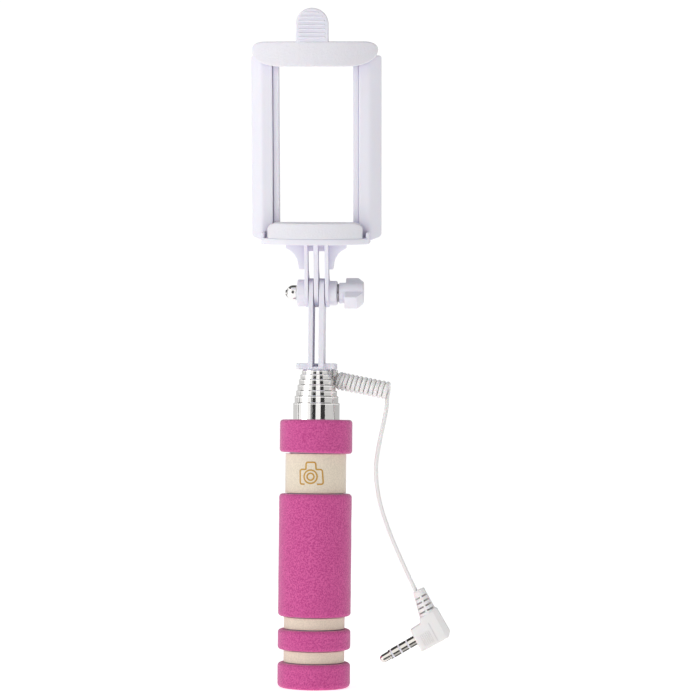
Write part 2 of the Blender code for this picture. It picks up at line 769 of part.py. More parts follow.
def make_plug():
    frame = plug_frame()
    outline = [(0, -4.5), (0, 4.5), (-4.6, 6.0), (-6.4, 7.0), (-12.0, 7.3), (-12.0, -3.2), (-10.6, -4.5)]
    half = PLUG_THICKNESS / 2
    body = plate([(x * MM, z * MM) for x, z in outline], -half, half, FRONT)
    collar = rod((-0.5 * MM, 0, 0), (0.9 * MM, 0, 0), 2.7 * MM, segments=24)
    bore = rod((-6 * MM, 0, 0), (4 * MM, 0, 0), 2.0 * MM, segments=20)
    bevel(body, 0.8 * MM, 1)
    join(body, collar)
    cut(body, bore)
    for item in (body, collar, bore):
        item.data.transform(frame)
    part(body, "plug_body", "white_rubber")

    length, bore, thin, thick = 9.3 * MM, 1.1 * MM, 1.9 * MM, 2.9 * MM
    profile = [(bore, length), (thin, length), (thick, 1.0 * MM), (thick, 0.0), (bore, 0.0)]
    relief = as_mesh(turned(profile, segments=20))
    relief.data.transform(frame @ Matrix.Translation((-8.9 * MM, 0, 7.55 * MM)))
    part(relief, "strain_relief", "white_rubber")

    make_pin(frame)


def make_pin(frame):
    """The four contacts and the insulator that holds them apart, along the plug frame's X axis."""
    turn = frame @ Matrix.Rotation(math.pi / 2, 4, "Y")
    gaps = [SLEEVE_END + CONTACT_PITCH * i for i in range(3)]
    starts = [PIN_ROOT, *[gap + CONTACT_GAP for gap in gaps]]
    for name, low, high in zip(("plug_sleeve", "plug_ring_1", "plug_ring_2"), starts, gaps):
        profile = [(PIN_RADIUS, high), (PIN_RADIUS, low), (CONTACT_BORE, low), (CONTACT_BORE, high)]
        shell = as_mesh(turned(profile, segments=20))
        shell.data.transform(turn)
        part(shell, name, "nickel")

    low, end = starts[3], PIN_LENGTH
    profile = [
        (0.0, end),
        (0.9 * MM, end - 0.3 * MM),
        (PIN_RADIUS, end - 2.0 * MM),
        (1.3 * MM, end - 2.9 * MM),
        (PIN_RADIUS, end - 3.5 * MM),
        (PIN_RADIUS, low),
        (CONTACT_BORE, low),
        (CONTACT_BORE, low + 1.4 * MM),
        (0.0, low + 1.4 * MM),
    ]
    tip = as_mesh(turned(profile, segments=20, closed=False))
    tip.data.transform(turn)
    part(tip, "plug_tip", "nickel")

    profile = [(0.0, low + 1.2 * MM), (INSULATOR_RADIUS, low + 1.2 * MM)]
    for start in reversed(starts[1:]):
        near, far = start - 0.15 * MM, start - CONTACT_GAP + 0.15 * MM
        profile += [(INSULATOR_RADIUS, near), (INSULATOR_RING, near)]
        profile += [(INSULATOR_RING, far), (INSULATOR_RADIUS, far)]
    profile += [(INSULATOR_RADIUS, PIN_ROOT), (0.0, PIN_ROOT)]
    core = as_mesh(turned(profile, segments=20, closed=False))
    core.data.transform(turn)
    part(core, "plug_insulator", "white_plastic")


clear_scene()
PARTS = new_collection("selfie_stick", hidden=False)
CUTTERS = new_collection("cutters", hidden=True)
MATERIALS = {
    "pink_foam": new_material("pink_foam", (0.61, 0.14, 0.33), 0.95),
    "cream_foam": new_material("cream_foam", (0.80, 0.72, 0.58), 0.95),
    "white_plastic": new_material("white_plastic", (0.79, 0.78, 0.83), 0.35),
    "grey_plastic": new_material("grey_plastic", (0.35, 0.35, 0.37), 0.5),
    "soft_pad": new_material("soft_pad", (0.80, 0.79, 0.82), 0.9),
    "white_rubber": new_material("white_rubber", (0.78, 0.78, 0.78), 0.5),
    "chrome": new_material("chrome", (0.80, 0.80, 0.80), 0.08, 1.0),
    "nickel": new_material("nickel", (0.70, 0.70, 0.68), 0.2, 1.0),
    "steel": new_material("steel", (0.55, 0.55, 0.55), 0.3, 1.0),
    "brass": new_material("brass", (0.75, 0.55, 0.25), 0.3, 1.0),
    "green_board": new_material("green_board", (0.05, 0.25, 0.12), 0.5),
}
make_handle()
make_telescope()
make_fork_cap()
make_gland()
make_holder()
make_cord()
make_plug()
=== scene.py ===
"""The looks of a short telescopic selfie stick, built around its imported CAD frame.

Metres, in the CAD's own frame: +Z up the stick, -Y the side of the shutter button and of the phone, +X right.
The phone holder is built in its own frame, whose origin is on the fold axis; "depth" is -Y there.
"""

import json
import math

import bmesh
import bpy
from mathutils import Matrix, Vector, noise


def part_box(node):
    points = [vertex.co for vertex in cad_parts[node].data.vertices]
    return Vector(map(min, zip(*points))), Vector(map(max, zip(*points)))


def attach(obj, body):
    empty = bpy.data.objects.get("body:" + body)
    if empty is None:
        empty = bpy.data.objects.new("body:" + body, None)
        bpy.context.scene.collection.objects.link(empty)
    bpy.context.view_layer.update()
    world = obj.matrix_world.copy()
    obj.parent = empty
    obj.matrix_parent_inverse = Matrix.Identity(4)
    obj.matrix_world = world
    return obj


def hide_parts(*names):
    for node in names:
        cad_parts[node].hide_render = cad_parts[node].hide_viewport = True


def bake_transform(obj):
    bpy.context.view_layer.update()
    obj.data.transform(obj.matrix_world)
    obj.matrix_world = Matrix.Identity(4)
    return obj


MM = 0.001


def mm(*values):
    return tuple(value * MM for value in values)


# ------------ where the CAD is

PIVOT_Z = 143.8 * MM
HOLDER = Matrix.Translation((0, 0, PIVOT_Z)) @ Matrix.Rotation(math.radians(10), 4, "X")
HOLDER_BODIES = ("holder", "jaw", "knob")

FOAMS = ("end_ring", "low_band", "low_ring", "mid_band", "main_sleeve", "button_band", "top_ring")
FOAM_BORE = 10.0 * MM
END_RING_FOOT = 1.9 * MM
TOP_RING_SLANT = 0.02
TUBES = 7
TUBE_WALL = 0.25 * MM
BUTTON_Z = 77.9 * MM
ICON_TURN = math.radians(-94)
ICON_LINE = 0.55 * MM

FLANGE_Z = mm(115.8, 117.9)
FLANGE_RADIUS = 7.5 * MM
FLANGE_HALF_DEPTH = 3.8 * MM
SPIGOT_BOTTOM = 107.0 * MM
SPIGOT_RADIUS = 4.9 * MM
FORK_INNER = 1.12 * MM
FORK_PRONGS = (mm(-2.9, -1.2), mm(0.9, 2.85))
FORK_OUTER = 2.85 * MM
FORK_HALF_DEPTH = 5.2 * MM
HOLE_RADIUS = 1.8 * MM

CLEVIS_RADIUS = 5.2 * MM
MIDDLE_PRONG = mm(-1.0, 0.7)
OUTER_PRONG = mm(3.07, 4.4)
PRONG_BEND = mm(6.0, 15.0)
NOTCH_DEPTH = 3.5 * MM
WEB_Z = mm(15.8, 19.5)
GUSSET_DEPTH = mm(1.0, 3.2)
GUSSET_FOOT = 9.0 * MM
BOSS_END = 7.3 * MM
BOSS_RADII = mm(4.95, 4.5)
BOLT_HEAD_RADIUS = 2.9 * MM
BOLT_HEAD_HEIGHT = 4.0 * MM
BOLT_END = 13.2 * MM
BOLT_RADIUS = 1.45 * MM
KNOB_X = mm(8.0, 16.9)
KNOB_RADIUS = 3.85 * MM
WING_START = 10.2 * MM
WING_HALF = 7.0 * MM
WING_HALF_THICKNESS = 2.5 * MM
WING_TURN = math.radians(25)
NUT_X = mm(8.2, 10.5)
NUT_RADIUS = 2.95 * MM

TRAY_Z = mm(18.9, 21.1)
TRAY_HALF = 19.6 * MM
TRAY_FRONT = 16.5 * MM
TRAY_END = 11.0 * MM
LIP_IN = 18.3 * MM
LIP_TOP = 23.2 * MM
RAIL_IN = 15.6 * MM
RAIL_OUT = 23.5 * MM
RAIL_FRONT = 6.6 * MM
RAIL_Z = mm(20.1, 86.4)
CHANNEL_X = mm(17.0, 20.8)
CHANNEL_DEPTH = mm(1.4, 4.3)
CHANNEL_BOTTOM = 22.6 * MM
SPRING_RADIUS = 1.1 * MM
SLOT_DEPTH = mm(2.4, 4.2)
LEG_X = mm(13.45, 15.3)
LEG_EDGES = {-1: 15.44 * MM, 1: 15.55 * MM}
LEG_DEPTH = mm(1.0, 5.6)
LEG_BOTTOM = 21.4 * MM
RUNNER_Z = mm(44.5, 54.8)
GAP = 0.3 * MM
PAD_DEPTH = 7.1 * MM
PAST_FRONT = 20 * MM  # further forward than any part of the holder
LOWER_PAD_Z = mm(21.09, 26.7)
LOWER_PAD_HALF = 17.2 * MM
UPPER_PAD_Z = mm(82.5, 91.3)
UPPER_PAD_HALF = 22.7 * MM
JAW_Z = mm(90.0, 91.35)
JAW_HALF = 22.2 * MM
TAB_HALF = 5.8 * MM
TAB_MIDDLE = -0.4 * MM
TAB_TOP = 103.2 * MM
TAB_DEPTH = mm(13.6, 16.4)

CORD_RADIUS = 0.78 * MM
COIL_RADIUS = 3.35 * MM
COIL_START = Vector((4.73, 5.4, 112.36)) * MM
COIL_END = Vector((26.3, -2.0, 108.1)) * MM
COIL_TURNS = 13
COIL_STEPS = 20  # points in a turn
GLAND = Vector((6.3, 2.9, 114.6)) * MM
# The straight part's own points, in mm
LEAD_ROUTE = [
    (25.9, 0.3, 105.7), (25.75, -0.3, 102.3), (25.1, -1.6, 98.0), (24.25, -2.6, 93.5), (23.2, -3.3, 88.0),
    (22.42, -3.7, 82.6), (22.35, -4.0, 77.2), (23.1, -4.0, 71.0), (24.64, -4.0, 64.5), (27.24, -4.0, 57.2),
    (30.28, -4.0, 50.0), (33.6, -4.0, 42.8), (36.4, -4.0, 37.0), (38.45, -4.0, 32.9),
]
PLUG_FACE = Vector((37.4, -4.0, 18.1)) * MM
PLUG_SLOPE = math.radians(29.3)
PLUG_THICKNESS = 6.8 * MM
RELIEF_X = -8.2 * MM
RELIEF_BOTTOM = 5.9 * MM
RELIEF_LENGTH = 9.5 * MM
RELIEF_LEAN = -0.12
RELIEF_RADII = mm(2.3, 3.3)
RELIEF_SLOTS = 4
PIN_RADIUS = 1.75 * MM
PIN_LENGTH = 14.8 * MM
PIN_ROOT = -4.5 * MM
PIN_CORE = 1.0 * MM
PIN_TURN = math.radians(1.4)
SLEEVE_END = 3.15 * MM
CONTACT_PITCH = 3.3 * MM
CONTACT_GAP = 0.55 * MM

# The camera: degrees to the right of the front, its distance and height, and what it looks at
CAMERA_TURN = 4.5
CAMERA_DISTANCE = 810 * MM
CAMERA_Z = 90.1 * MM
CAMERA_LENS = 113.7
CAMERA_ROLL = math.radians(0.55)
AIM_RIGHT = 12.1 * MM
AIM_Z = 123 * MM

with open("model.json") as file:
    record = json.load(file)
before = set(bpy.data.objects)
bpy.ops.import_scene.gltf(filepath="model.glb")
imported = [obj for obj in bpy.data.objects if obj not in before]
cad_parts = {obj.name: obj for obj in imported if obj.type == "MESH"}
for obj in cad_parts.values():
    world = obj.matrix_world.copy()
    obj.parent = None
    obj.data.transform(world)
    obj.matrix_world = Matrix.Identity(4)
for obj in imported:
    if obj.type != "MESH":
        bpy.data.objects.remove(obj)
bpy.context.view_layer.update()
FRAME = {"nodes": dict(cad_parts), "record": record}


# ------------ outlines


def arc(centre, radius, start, end, count):
    """Points along an arc, from one angle in degrees to another."""
    angles = [math.radians(start + (end - start) * i / count) for i in range(count + 1)]
    return [(centre[0] + radius * math.cos(a), centre[1] + radius * math.sin(a)) for a in angles]


def polar(radius, angle, height=0.0):
    return Vector((radius * math.cos(angle), radius * math.sin(angle), height))


def between(a, b, count):
    """Flat points at even steps from a, which is the first of them, up to b, which isn't one."""
    return [(a[0] + (b[0] - a[0]) * i / count, a[1] + (b[1] - a[1]) * i / count) for i in range(count)]


def on_side(side, near, far):
    """Two distances from the middle as a low and a high coordinate, on the side -1 or 1."""
    return sorted((side * near, side * far))


def mirrored(outline):
    return [(-point[0], *point[1:]) for point in reversed(outline)]


def rounded(points, steps=4, move=0.0, closed=True):
    """The outline's corners rounded by the radius that a point may carry as its third number.

    An anticlockwise outline can also be moved inwards first.
    """
    flat = [Vector(point[:2]) for point in points]
    shifted = inset(flat, move) if move else flat
    count = len(points)
    made = []
    for i, point in enumerate(points):
        radius = point[2] if len(point) > 2 else 0.0
        if radius <= 0 or (not closed and i in (0, count - 1)):
            made.append(tuple(shifted[i]))
            continue
        into, out = flat[i] - flat[i - 1], flat[(i + 1) % count] - flat[i]
        if move:
            radius = max(radius - move, 0.03 * MM) if into.x * out.y > into.y * out.x else radius + move
        before = shifted[i - 1] - shifted[i]
        after = shifted[(i + 1) % count] - shifted[i]
        room = 0.49 * min(before.length, after.length)
        before.normalize()
        after.normalize()
        half = before.angle(after) / 2
        reach = min(radius / math.tan(half), room)
        centre = shifted[i] + (before + after).normalized() * reach / math.cos(half)
        start = shifted[i] + before * reach - centre
        end = shifted[i] + after * reach - centre
        turn = math.atan2(start.x * end.y - start.y * end.x, start.dot(end))
        for k in range(steps + 1):
            cos, sin = math.cos(turn * k / steps), math.sin(turn * k / steps)
            made.append((centre.x + start.x * cos - start.y * sin, centre.y + start.x * sin + start.y * cos))
    return made


def anticlockwise(outline):
    area = sum(a[0] * b[1] - b[0] * a[1] for a, b in zip(outline, [*outline[1:], outline[0]]))
    return list(outline) if area > 0 else list(reversed(outline))


def inset(outline, distance):
    """The anticlockwise outline moved inwards by a small distance."""
    made = []
    count = len(outline)
    for i, point in enumerate(outline):
        point = Vector(point)
        before = (point - Vector(outline[i - 1])).normalized()
        after = (Vector(outline[(i + 1) % count]) - point).normalized()
        left = Vector((-before.y, before.x))
        right = Vector((-after.y, after.x))
        made.append(point + (left + right) * distance / max(1 + left.dot(right), 0.35))
    return made


# ------------ meshes

# How an outline's own axes lie: in plan, seen from the side (Y, Z), and seen from the front (X, Z)
PLAN = Matrix.Identity(4)
SIDE = Matrix(((0, 0, 1, 0), (1, 0, 0, 0), (0, 1, 0, 0), (0, 0, 0, 1)))
FRONT = Matrix(((1, 0, 0, 0), (0, 0, -1, 0), (0, 1, 0, 0), (0, 0, 0, 1)))
ALONG_X = Matrix.Rotation(math.pi / 2, 4, "Y")
AGAINST_X = Matrix.Rotation(-math.pi / 2, 4, "Y")


def finished(body, name):
    bmesh.ops.recalc_face_normals(body, faces=body.faces)
    mesh = bpy.data.meshes.new(name)
    body.to_mesh(mesh)
    body.free()
    return mesh


def skin(body, rings, closed=False):
    """Faces between rings of points, of which a ring of one point is a tip."""
    pairs = list(zip(rings, rings[1:]))
    if closed:
        pairs.append((rings[-1], rings[0]))
    for a, b in pairs:
        count = max(len(a), len(b))
        for i in range(count):
            j = (i + 1) % count
            corners = [a[i % len(a)], a[j % len(a)], b[j % len(b)], b[i % len(b)]]
            corners = list(dict.fromkeys(corners))
            if len(corners) > 2:
                body.faces.new(corners)


def plate(outline, low, high, view, edge=0.3 * MM, steps=3):
    """A flat outline given thickness between two values, with its rims rounded.

    PLAN runs along +Z, SIDE along +X and FRONT along -Y.
    """
    outline = anticlockwise(outline)
    edge = min(edge, 0.49 * (high - low))
    turns = [math.pi / 2 * k / steps for k in range(steps + 1)] if edge else [0.0]
    rim = [(edge * (1 - math.sin(a)), edge * (1 - math.cos(a))) for a in turns]
    levels = [(move, low + rise) for move, rise in rim]
    levels += [(move, high - rise) for move, rise in reversed(rim)]
    body = bmesh.new()
    loops = []
    for move, height in levels:
        loops.append([body.verts.new(view @ Vector((x, y, height))) for x, y in rounded(outline, 4, move)])
    skin(body, loops)
    body.faces.new(loops[0])
    body.faces.new(loops[-1])
    return finished(body, "plate")


def lathe(profile, segments=64, closed=False, matrix=PLAN):
    """A profile of (radius, height) points turned about Z: closed on itself, or from the axis to the axis."""
    body = bmesh.new()
    rings = []
    for radius, height in profile:
        if radius < 1e-7:
            rings.append([body.verts.new(matrix @ Vector((0, 0, height)))])
            continue
        turns = [math.tau * i / segments for i in range(segments)]
        rings.append([body.verts.new(matrix @ polar(radius, a, height)) for a in turns])
    skin(body, rings, closed)
    return finished(body, "lathe")


def drum(start, end, radius, edge=0.0, segments=48):
    """A round bar between two points, with rounded rims."""
    start, end = Vector(start), Vector(end)
    length = (end - start).length
    profile = [(0.0, 0.0), (radius, 0.0, edge), (radius, length, edge), (0.0, length)]
    aim = (end - start).to_track_quat("Z", "Y").to_matrix().to_4x4()
    return lathe(rounded(profile, 3, closed=False), segments, matrix=Matrix.Translation(start) @ aim)


def block(low, high, edge=0.0):
    """A box between two corners, with all its edges rounded if asked."""
    low, high = Vector(low), Vector(high)
    outline = [(low.x, low.y, edge), (high.x, low.y, edge), (high.x, high.y, edge), (low.x, high.y, edge)]
    return plate(outline, low.z, high.z, PLAN, edge)


def place(data):
    """The mesh, curve, lamp or camera as an object of the scene, under its own name."""
    item = bpy.data.objects.new(data.name, data)
    bpy.context.scene.collection.objects.link(item)
    return item


def shift(mesh, moves):
    for vertex, move in zip(mesh.vertices, moves):
        vertex.co += move


def evaluated(item):
    """The object's mesh with its modifiers applied."""
    bpy.context.view_layer.update()
    graph = bpy.context.evaluated_depsgraph_get()
    return bpy.data.meshes.new_from_object(item.evaluated_get(graph))


def united(pieces, cuts=(), within=None):
    """One closed mesh of several, with others cut away from it, and only what lies within another."""
    base = place(pieces[0])
    used = [base]
    steps = [*((m, "UNION") for m in pieces[1:]), *((m, "DIFFERENCE") for m in cuts)]
    if within is not None:
        steps.append((within, "INTERSECT"))
    for mesh, operation in steps:
        other = place(mesh)
        used.append(other)
        step = base.modifiers.new("boolean", "BOOLEAN")
        step.operation = operation
        step.solver = "EXACT"
        step.object = other
    mesh = evaluated(base)
    for item in used:
        bpy.data.objects.remove(item, do_unlink=True)
    body = bmesh.new()
    body.from_mesh(mesh)
    bmesh.ops.remove_doubles(body, verts=body.verts, dist=2e-6)
    bmesh.ops.dissolve_degenerate(body, edges=body.edges, dist=1e-6)
    return finished(body, "united")


def softened(mesh, voxel, rounds, grain=0.0, size=0.6 * MM):
    """The mesh cast again in small even faces with all its edges rubbed round, and a grainy skin."""
    item = place(mesh)
    remesh = item.modifiers.new("remesh", "REMESH")
    remesh.mode = "VOXEL"
    remesh.voxel_size = voxel
    rub = item.modifiers.new("rub", "SMOOTH")
    rub.factor = 0.5
    rub.iterations = rounds
    mesh = evaluated(item)
    bpy.data.objects.remove(item, do_unlink=True)
    shift(mesh, [v.normal * grain * noise.noise(v.co / size) for v in mesh.vertices])
    return mesh


def helix(radius, low, high, wire, pitch, per_turn):
    """The middle line of a wire's coil about Z, which fits between two heights."""
    count = int((high - low - 2 * wire) / pitch * per_turn)
    steps = [i / per_turn for i in range(count + 1)]
    return [polar(radius, math.tau * step, low + wire + pitch * step) for step in steps]


def tube_along(points, radius, sides=10):
    """A closed round tube along a list of points, with rounded ends."""
    body = bmesh.new()
    rings = []
    normal = None
    turns = [math.tau * k / sides for k in range(sides)]
    for i, point in enumerate(points):
        ahead = (points[min(i + 1, len(points) - 1)] - points[max(i - 1, 0)]).normalized()
        if normal is None:
            normal = ahead.orthogonal().normalized()
        normal = (normal - ahead * normal.dot(ahead)).normalized()
        across = ahead.cross(normal)
        ring = [point + (normal * math.cos(a) + across * math.sin(a)) * radius for a in turns]
        rings.append([body.verts.new(corner) for corner in ring])
    skin(body, rings)
    body.faces.new(rings[0])
    body.faces.new(rings[-1])
    return finished(body, "tube")


def smooth_route(points, spacing):
    """Points at an even spacing along the smooth curve through a route's own points."""
    route = [Vector(p) for p in points]
    ends = [2 * route[0] - route[1], *route, 2 * route[-1] - route[-2]]
    dense = []
    for a, b, c, d in zip(ends, ends[1:], ends[2:], ends[3:]):
        square, cube = 2 * a - 5 * b + 4 * c - d, 3 * b - a - 3 * c + d
        for t in [step / 20 for step in range(20)]:
            dense.append(0.5 * (2 * b + (c - a) * t + square * t**2 + cube * t**3))
    dense.append(route[-1])
    lengths = [0.0]
    for a, b in zip(dense, dense[1:]):
        lengths.append(lengths[-1] + (b - a).length)
    count = max(2, round(lengths[-1] / spacing))
    picked, index = [], 0
    for i in range(count + 1):
        wanted = lengths[-1] * i / count
        while index < len(dense) - 2 and lengths[index + 1] < wanted:
            index += 1
        share = (wanted - lengths[index]) / (lengths[index + 1] - lengths[index])
        picked.append(dense[index].lerp(dense[index + 1], min(share, 1.0)))
    return picked


# ------------ materials


class Look:
    """A node material: a principled shader and what feeds it, in the object's own coordinates."""

    def __init__(self, name, colour, roughness, **sockets):
        self.material = bpy.data.materials.new(name)
        self.material.use_nodes = True
        self.tree = self.material.node_tree
        self.shader = self.tree.nodes["Principled BSDF"]
        sockets = {"Base_Color": (*colour, 1.0), "Roughness": roughness, **sockets}
        for socket, value in sockets.items():
            self.shader.inputs[socket.replace("_", " ")].default_value = value
        self.place = self.tree.nodes.new("ShaderNodeTexCoord").outputs["Object"]
        self.normal = None

    def node(self, kind, **inputs):
        node = self.tree.nodes.new(kind)
        for name, value in inputs.items():
            self.feed(node.inputs[name.replace("_", " ")], value)
        return node

    def feed(self, socket, value):
        if isinstance(value, bpy.types.NodeSocket):
            self.tree.links.new(value, socket)
        else:
            socket.default_value = value

    def stretched(self, scale):
        return self.node("ShaderNodeMapping", Vector=self.place, Scale=scale).outputs["Vector"]

    def noise(self, size, detail=3.0, rough=0.55, place=None):
        """Noise whose blotches are about the given size, from 0 to 1."""
        where = place or self.place
        made = self.node("ShaderNodeTexNoise", Vector=where, Scale=1 / size, Detail=detail, Roughness=rough)
        return made.outputs["Fac"]

    def spread(self, value, low, high, to_low=0.0, to_high=1.0):
        limits = {"From_Min": low, "From_Max": high, "To_Min": to_low, "To_Max": to_high}
        return self.node("ShaderNodeMapRange", Value=value, **limits).outputs["Result"]

    def mix(self, share, a, b):
        made = self.tree.nodes.new("ShaderNodeMix")
        made.data_type = "RGBA"
        self.feed(made.inputs["Factor"], share)
        for index, colour in ((6, a), (7, b)):
            whole = isinstance(colour, bpy.types.NodeSocket)
            self.feed(made.inputs[index], colour if whole else (*colour, 1.0))
        return made.outputs[2]

    def paint(self, colour):
        self.feed(self.shader.inputs["Base Color"], colour)

    def bump(self, height, depth, strength=1.0):
        made = self.node("ShaderNodeBump", Height=height, Distance=depth, Strength=strength)
        if self.normal is not None:
            self.feed(made.inputs["Normal"], self.normal)
        self.normal = made.outputs["Normal"]
        self.feed(self.shader.inputs["Normal"], self.normal)

    def roughen(self, value, low, high):
        self.feed(self.shader.inputs["Roughness"], self.spread(value, 0.3, 0.7, low, high))


def tint(colour, factor, shift=(0.0, 0.0, 0.0)):
    return tuple(min(1.0, c * factor + s) for c, s in zip(colour, shift))


def foam_look(name, colour, dark, light, depth):
    look = Look(name, colour, 0.95, Sheen_Weight=0.5, Sheen_Roughness=0.4, Specular_IOR_Level=0.06)
    grain = look.noise(0.5 * MM, 4.0, 0.62)
    fine = look.noise(0.24 * MM, 2.0)
    patches = look.noise(9 * MM, 2.0)
    base = look.mix(look.spread(grain, 0.42, 0.58), dark, light)
    base = look.mix(look.spread(patches, 0.3, 0.7, 0.0, 0.25), base, tint(colour, 0.93))
    pores = look.node("ShaderNodeTexVoronoi", Vector=look.place, Scale=1 / (1.1 * MM)).outputs["Distance"]
    base = look.mix(look.spread(pores, 0.02, 0.16, 0.45, 0.0), base, tint(dark, 0.72))
    look.paint(base)
    look.bump(grain, depth)
    look.bump(fine, depth * 0.4, 0.7)
    return look.material


def plastic_look(name, colour, shade, roughness, grain=0.02 * MM, size=0.5 * MM):
    """Moulded plastic: a fine texture, a faint unevenness, and painted shade in its corners, creases and
    recesses, mixed in by ambient occlusion.
    """
    look = Look(name, colour, roughness, Subsurface_Weight=0.12, Subsurface_Scale=1.5 * MM)
    # Painted shade: the colour turns towards the darker, more violet shade colour wherever ambient occlusion
    # finds corners and recesses
    corner = look.node("ShaderNodeAmbientOcclusion", Distance=7 * MM)
    corner.samples = 8
    base = look.mix(look.spread(corner.outputs["AO"], 0.25, 0.95), shade, colour)
    patches = look.noise(14 * MM, 2.0)
    base = look.mix(look.spread(patches, 0.3, 0.7, 0.0, 0.35), base, tint(colour, 0.975))
    look.paint(base)
    look.roughen(look.noise(3 * MM), roughness - 0.05, roughness + 0.06)
    look.bump(look.noise(size, 3.0), grain)
    return look.material


def metal_look(name, colour, roughness, streak=(1, 1, 1), size=2 * MM, depth=0.004 * MM):
    look = Look(name, colour, roughness, Metallic=1.0)
    marks = look.noise(size, 4.0, 0.6, look.stretched(streak))
    look.paint(look.mix(look.spread(marks, 0.35, 0.75), tint(colour, 0.94), colour))
    look.roughen(marks, roughness * 0.7, roughness * 1.5)
    look.bump(look.noise(0.5 * size, 2.0, 0.5, look.stretched(streak)), depth)
    return look.material


PINK = (0.62, 0.082, 0.300)
PINK_LIGHT = tint(PINK, 1.10, (0.04, 0.05, 0.05))
CREAM = (0.82, 0.73, 0.585)
WHITE = (0.80, 0.79, 0.85)
# Painted shade: the darker, more violet colour the white plastic turns to in its corners and recesses
WHITE_PAINTED_SHADE = (0.66, 0.63, 0.77)
SOFT = (0.78, 0.77, 0.81)
CORD_WHITE = (0.87, 0.86, 0.845)

# Each plastic_look's second colour is painted shade, mixed in where ambient occlusion finds corners and
# recesses
LOOKS = {
    name: make(name, *values)
    for name, make, *values in (
        ("pink_foam", foam_look, PINK, tint(PINK, 0.82), PINK_LIGHT, 0.16 * MM),
        ("cream_foam", foam_look, CREAM, tint(CREAM, 0.92), tint(CREAM, 1.05), 0.05 * MM),
        ("white_plastic", plastic_look, WHITE, WHITE_PAINTED_SHADE, 0.42),
        ("grey_plastic", plastic_look, (0.35, 0.35, 0.37), (0.25, 0.25, 0.28), 0.5),
        ("soft_pad", plastic_look, SOFT, (0.64, 0.61, 0.74), 0.85, 0.06 * MM, 0.45 * MM),
        ("white_rubber", plastic_look, CORD_WHITE, (0.76, 0.74, 0.73), 0.48, 0.012 * MM, 0.8 * MM),
        ("chrome", metal_look, (0.90, 0.885, 0.865), 0.07, (1, 1, 0.25)),
        ("nickel", metal_look, (0.86, 0.83, 0.77), 0.09, (1, 1, 1), 2 * MM, 0.001 * MM),
        ("steel", metal_look, (0.55, 0.55, 0.55), 0.3),
        ("brass", metal_look, (0.78, 0.56, 0.24), 0.28),
        ("green_board", plastic_look, (0.03, 0.22, 0.10), (0.02, 0.12, 0.06), 0.4),
        ("gold_print", plastic_look, (0.56, 0.30, 0.035), (0.45, 0.22, 0.02), 0.45),
    )
}


def smooth(mesh, angle=38):
    mesh.shade_smooth()
    mesh.set_sharp_from_angle(angle=math.radians(angle))


def piece(name, mesh, look, body, stands_for=(), matrix=PLAN, angle=38):
    """The mesh as a named piece with its material, riding on a CAD body."""
    mesh.transform(HOLDER if body in HOLDER_BODIES else matrix)
    smooth(mesh, angle)
    item = place(mesh)
    item.name = name
    mesh.name = name
    mesh.materials.clear()
    mesh.materials.append(LOOKS[look])
    weigh = item.modifiers.new("weighted", "WEIGHTED_NORMAL")
    weigh.keep_sharp = True
    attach(item, body)
    if stands_for:
        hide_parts(*stands_for)
    return item


# ------------ camera


def make_camera():
    azimuth = math.radians(CAMERA_TURN)
    data = bpy.data.cameras.new("camera")
    data.sensor_width = 36
    data.lens = CAMERA_LENS
    data.clip_start, data.clip_end = 0.05, 20
    camera = place(data)
    where = Vector((CAMERA_DISTANCE * math.sin(azimuth), -CAMERA_DISTANCE * math.cos(azimuth), CAMERA_Z))
    target = Vector((AIM_RIGHT * math.cos(azimuth), AIM_RIGHT * math.sin(azimuth), AIM_Z))
    aim = (target - where).to_track_quat("-Z", "Y").to_matrix().to_4x4()
    camera.matrix_world = Matrix.Translation(where) @ aim @ Matrix.Rotation(CAMERA_ROLL, 4, "Z")
    bpy.context.scene.camera = camera


# ------------ cord


def coil_axis(turn):
    """A point of the coil's own axis, which comes forward from behind the cone, and its unit direction."""
    t = turn / COIL_TURNS
    point = COIL_START.lerp(COIL_END, t)
    point.y = COIL_END.y + (COIL_START.y - COIL_END.y) * (1 - t) ** 2.2
    point.x += 1.5 * MM * max(0.0, 1 - turn / 4) ** 2
    return point, Vector((COIL_END.x - COIL_START.x, 0, COIL_END.z - COIL_START.z)).normalized()


def coil_points():
    """The wire's line round the coil: it comes round the cone behind it, narrow and stretched at first."""
    points = []
    for i in range(COIL_TURNS * COIL_STEPS + 1):
        turn = i / COIL_STEPS
        axis, ahead = coil_axis(turn)
        up = (Vector((0, 0, 1)) - ahead * ahead.z).normalized()
        far = up.cross(ahead)
        a = math.tau * i / COIL_STEPS
        reach = (COIL_RADIUS - CORD_RADIUS) * min(1.0, 0.5 + 0.5 * turn / 1.6)
        lean = 0.22 * max(0.0, 1 - turn / 5)
        points.append(axis + (far * math.cos(a) - (up + ahead * lean) * math.sin(a)) * reach)
    return points


def make_cord():
    route = smooth_route([GLAND, *coil_points(), *[Vector(p) * MM for p in LEAD_ROUTE]], 0.5 * MM)
    data = bpy.data.curves.new("cord", "CURVE")
    data.dimensions = "3D"
    data.bevel_depth = CORD_RADIUS
    data.bevel_resolution = 4
    data.use_fill_caps = True
    line = data.splines.new("POLY")
    line.points.add(len(route) - 1)
    for point, where in zip(line.points, route):
        point.co = (*where, 1.0)
    line.use_smooth = True
    data.materials.append(LOOKS["white_rubber"])
    cord = place(data)
    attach(cord, "section_7")
    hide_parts("cord_coil", "cord_lead")
    length = sum((b - a).length for a, b in zip(route, route[1:]))
    return cord, route[0], length


def make_gland():
    low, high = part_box("cord_gland")
    x, y = (low.x + high.x) / 2, (low.y + high.y) / 2
    head, neck, soft = 1.3 * MM, 0.95 * MM, 0.2 * MM
    top = high.z + 0.2 * MM
    profile = [(0.0, top), (head, top, soft), (head, top - 0.8 * MM, soft), (neck, low.z, 0.3 * MM),
               (0.0, low.z)]
    mesh = lathe(rounded(profile, 3, closed=False), 32, matrix=Matrix.Translation((x, y, 0)))
    piece("gland", mesh, "white_rubber", "section_7", ["cord_gland"])


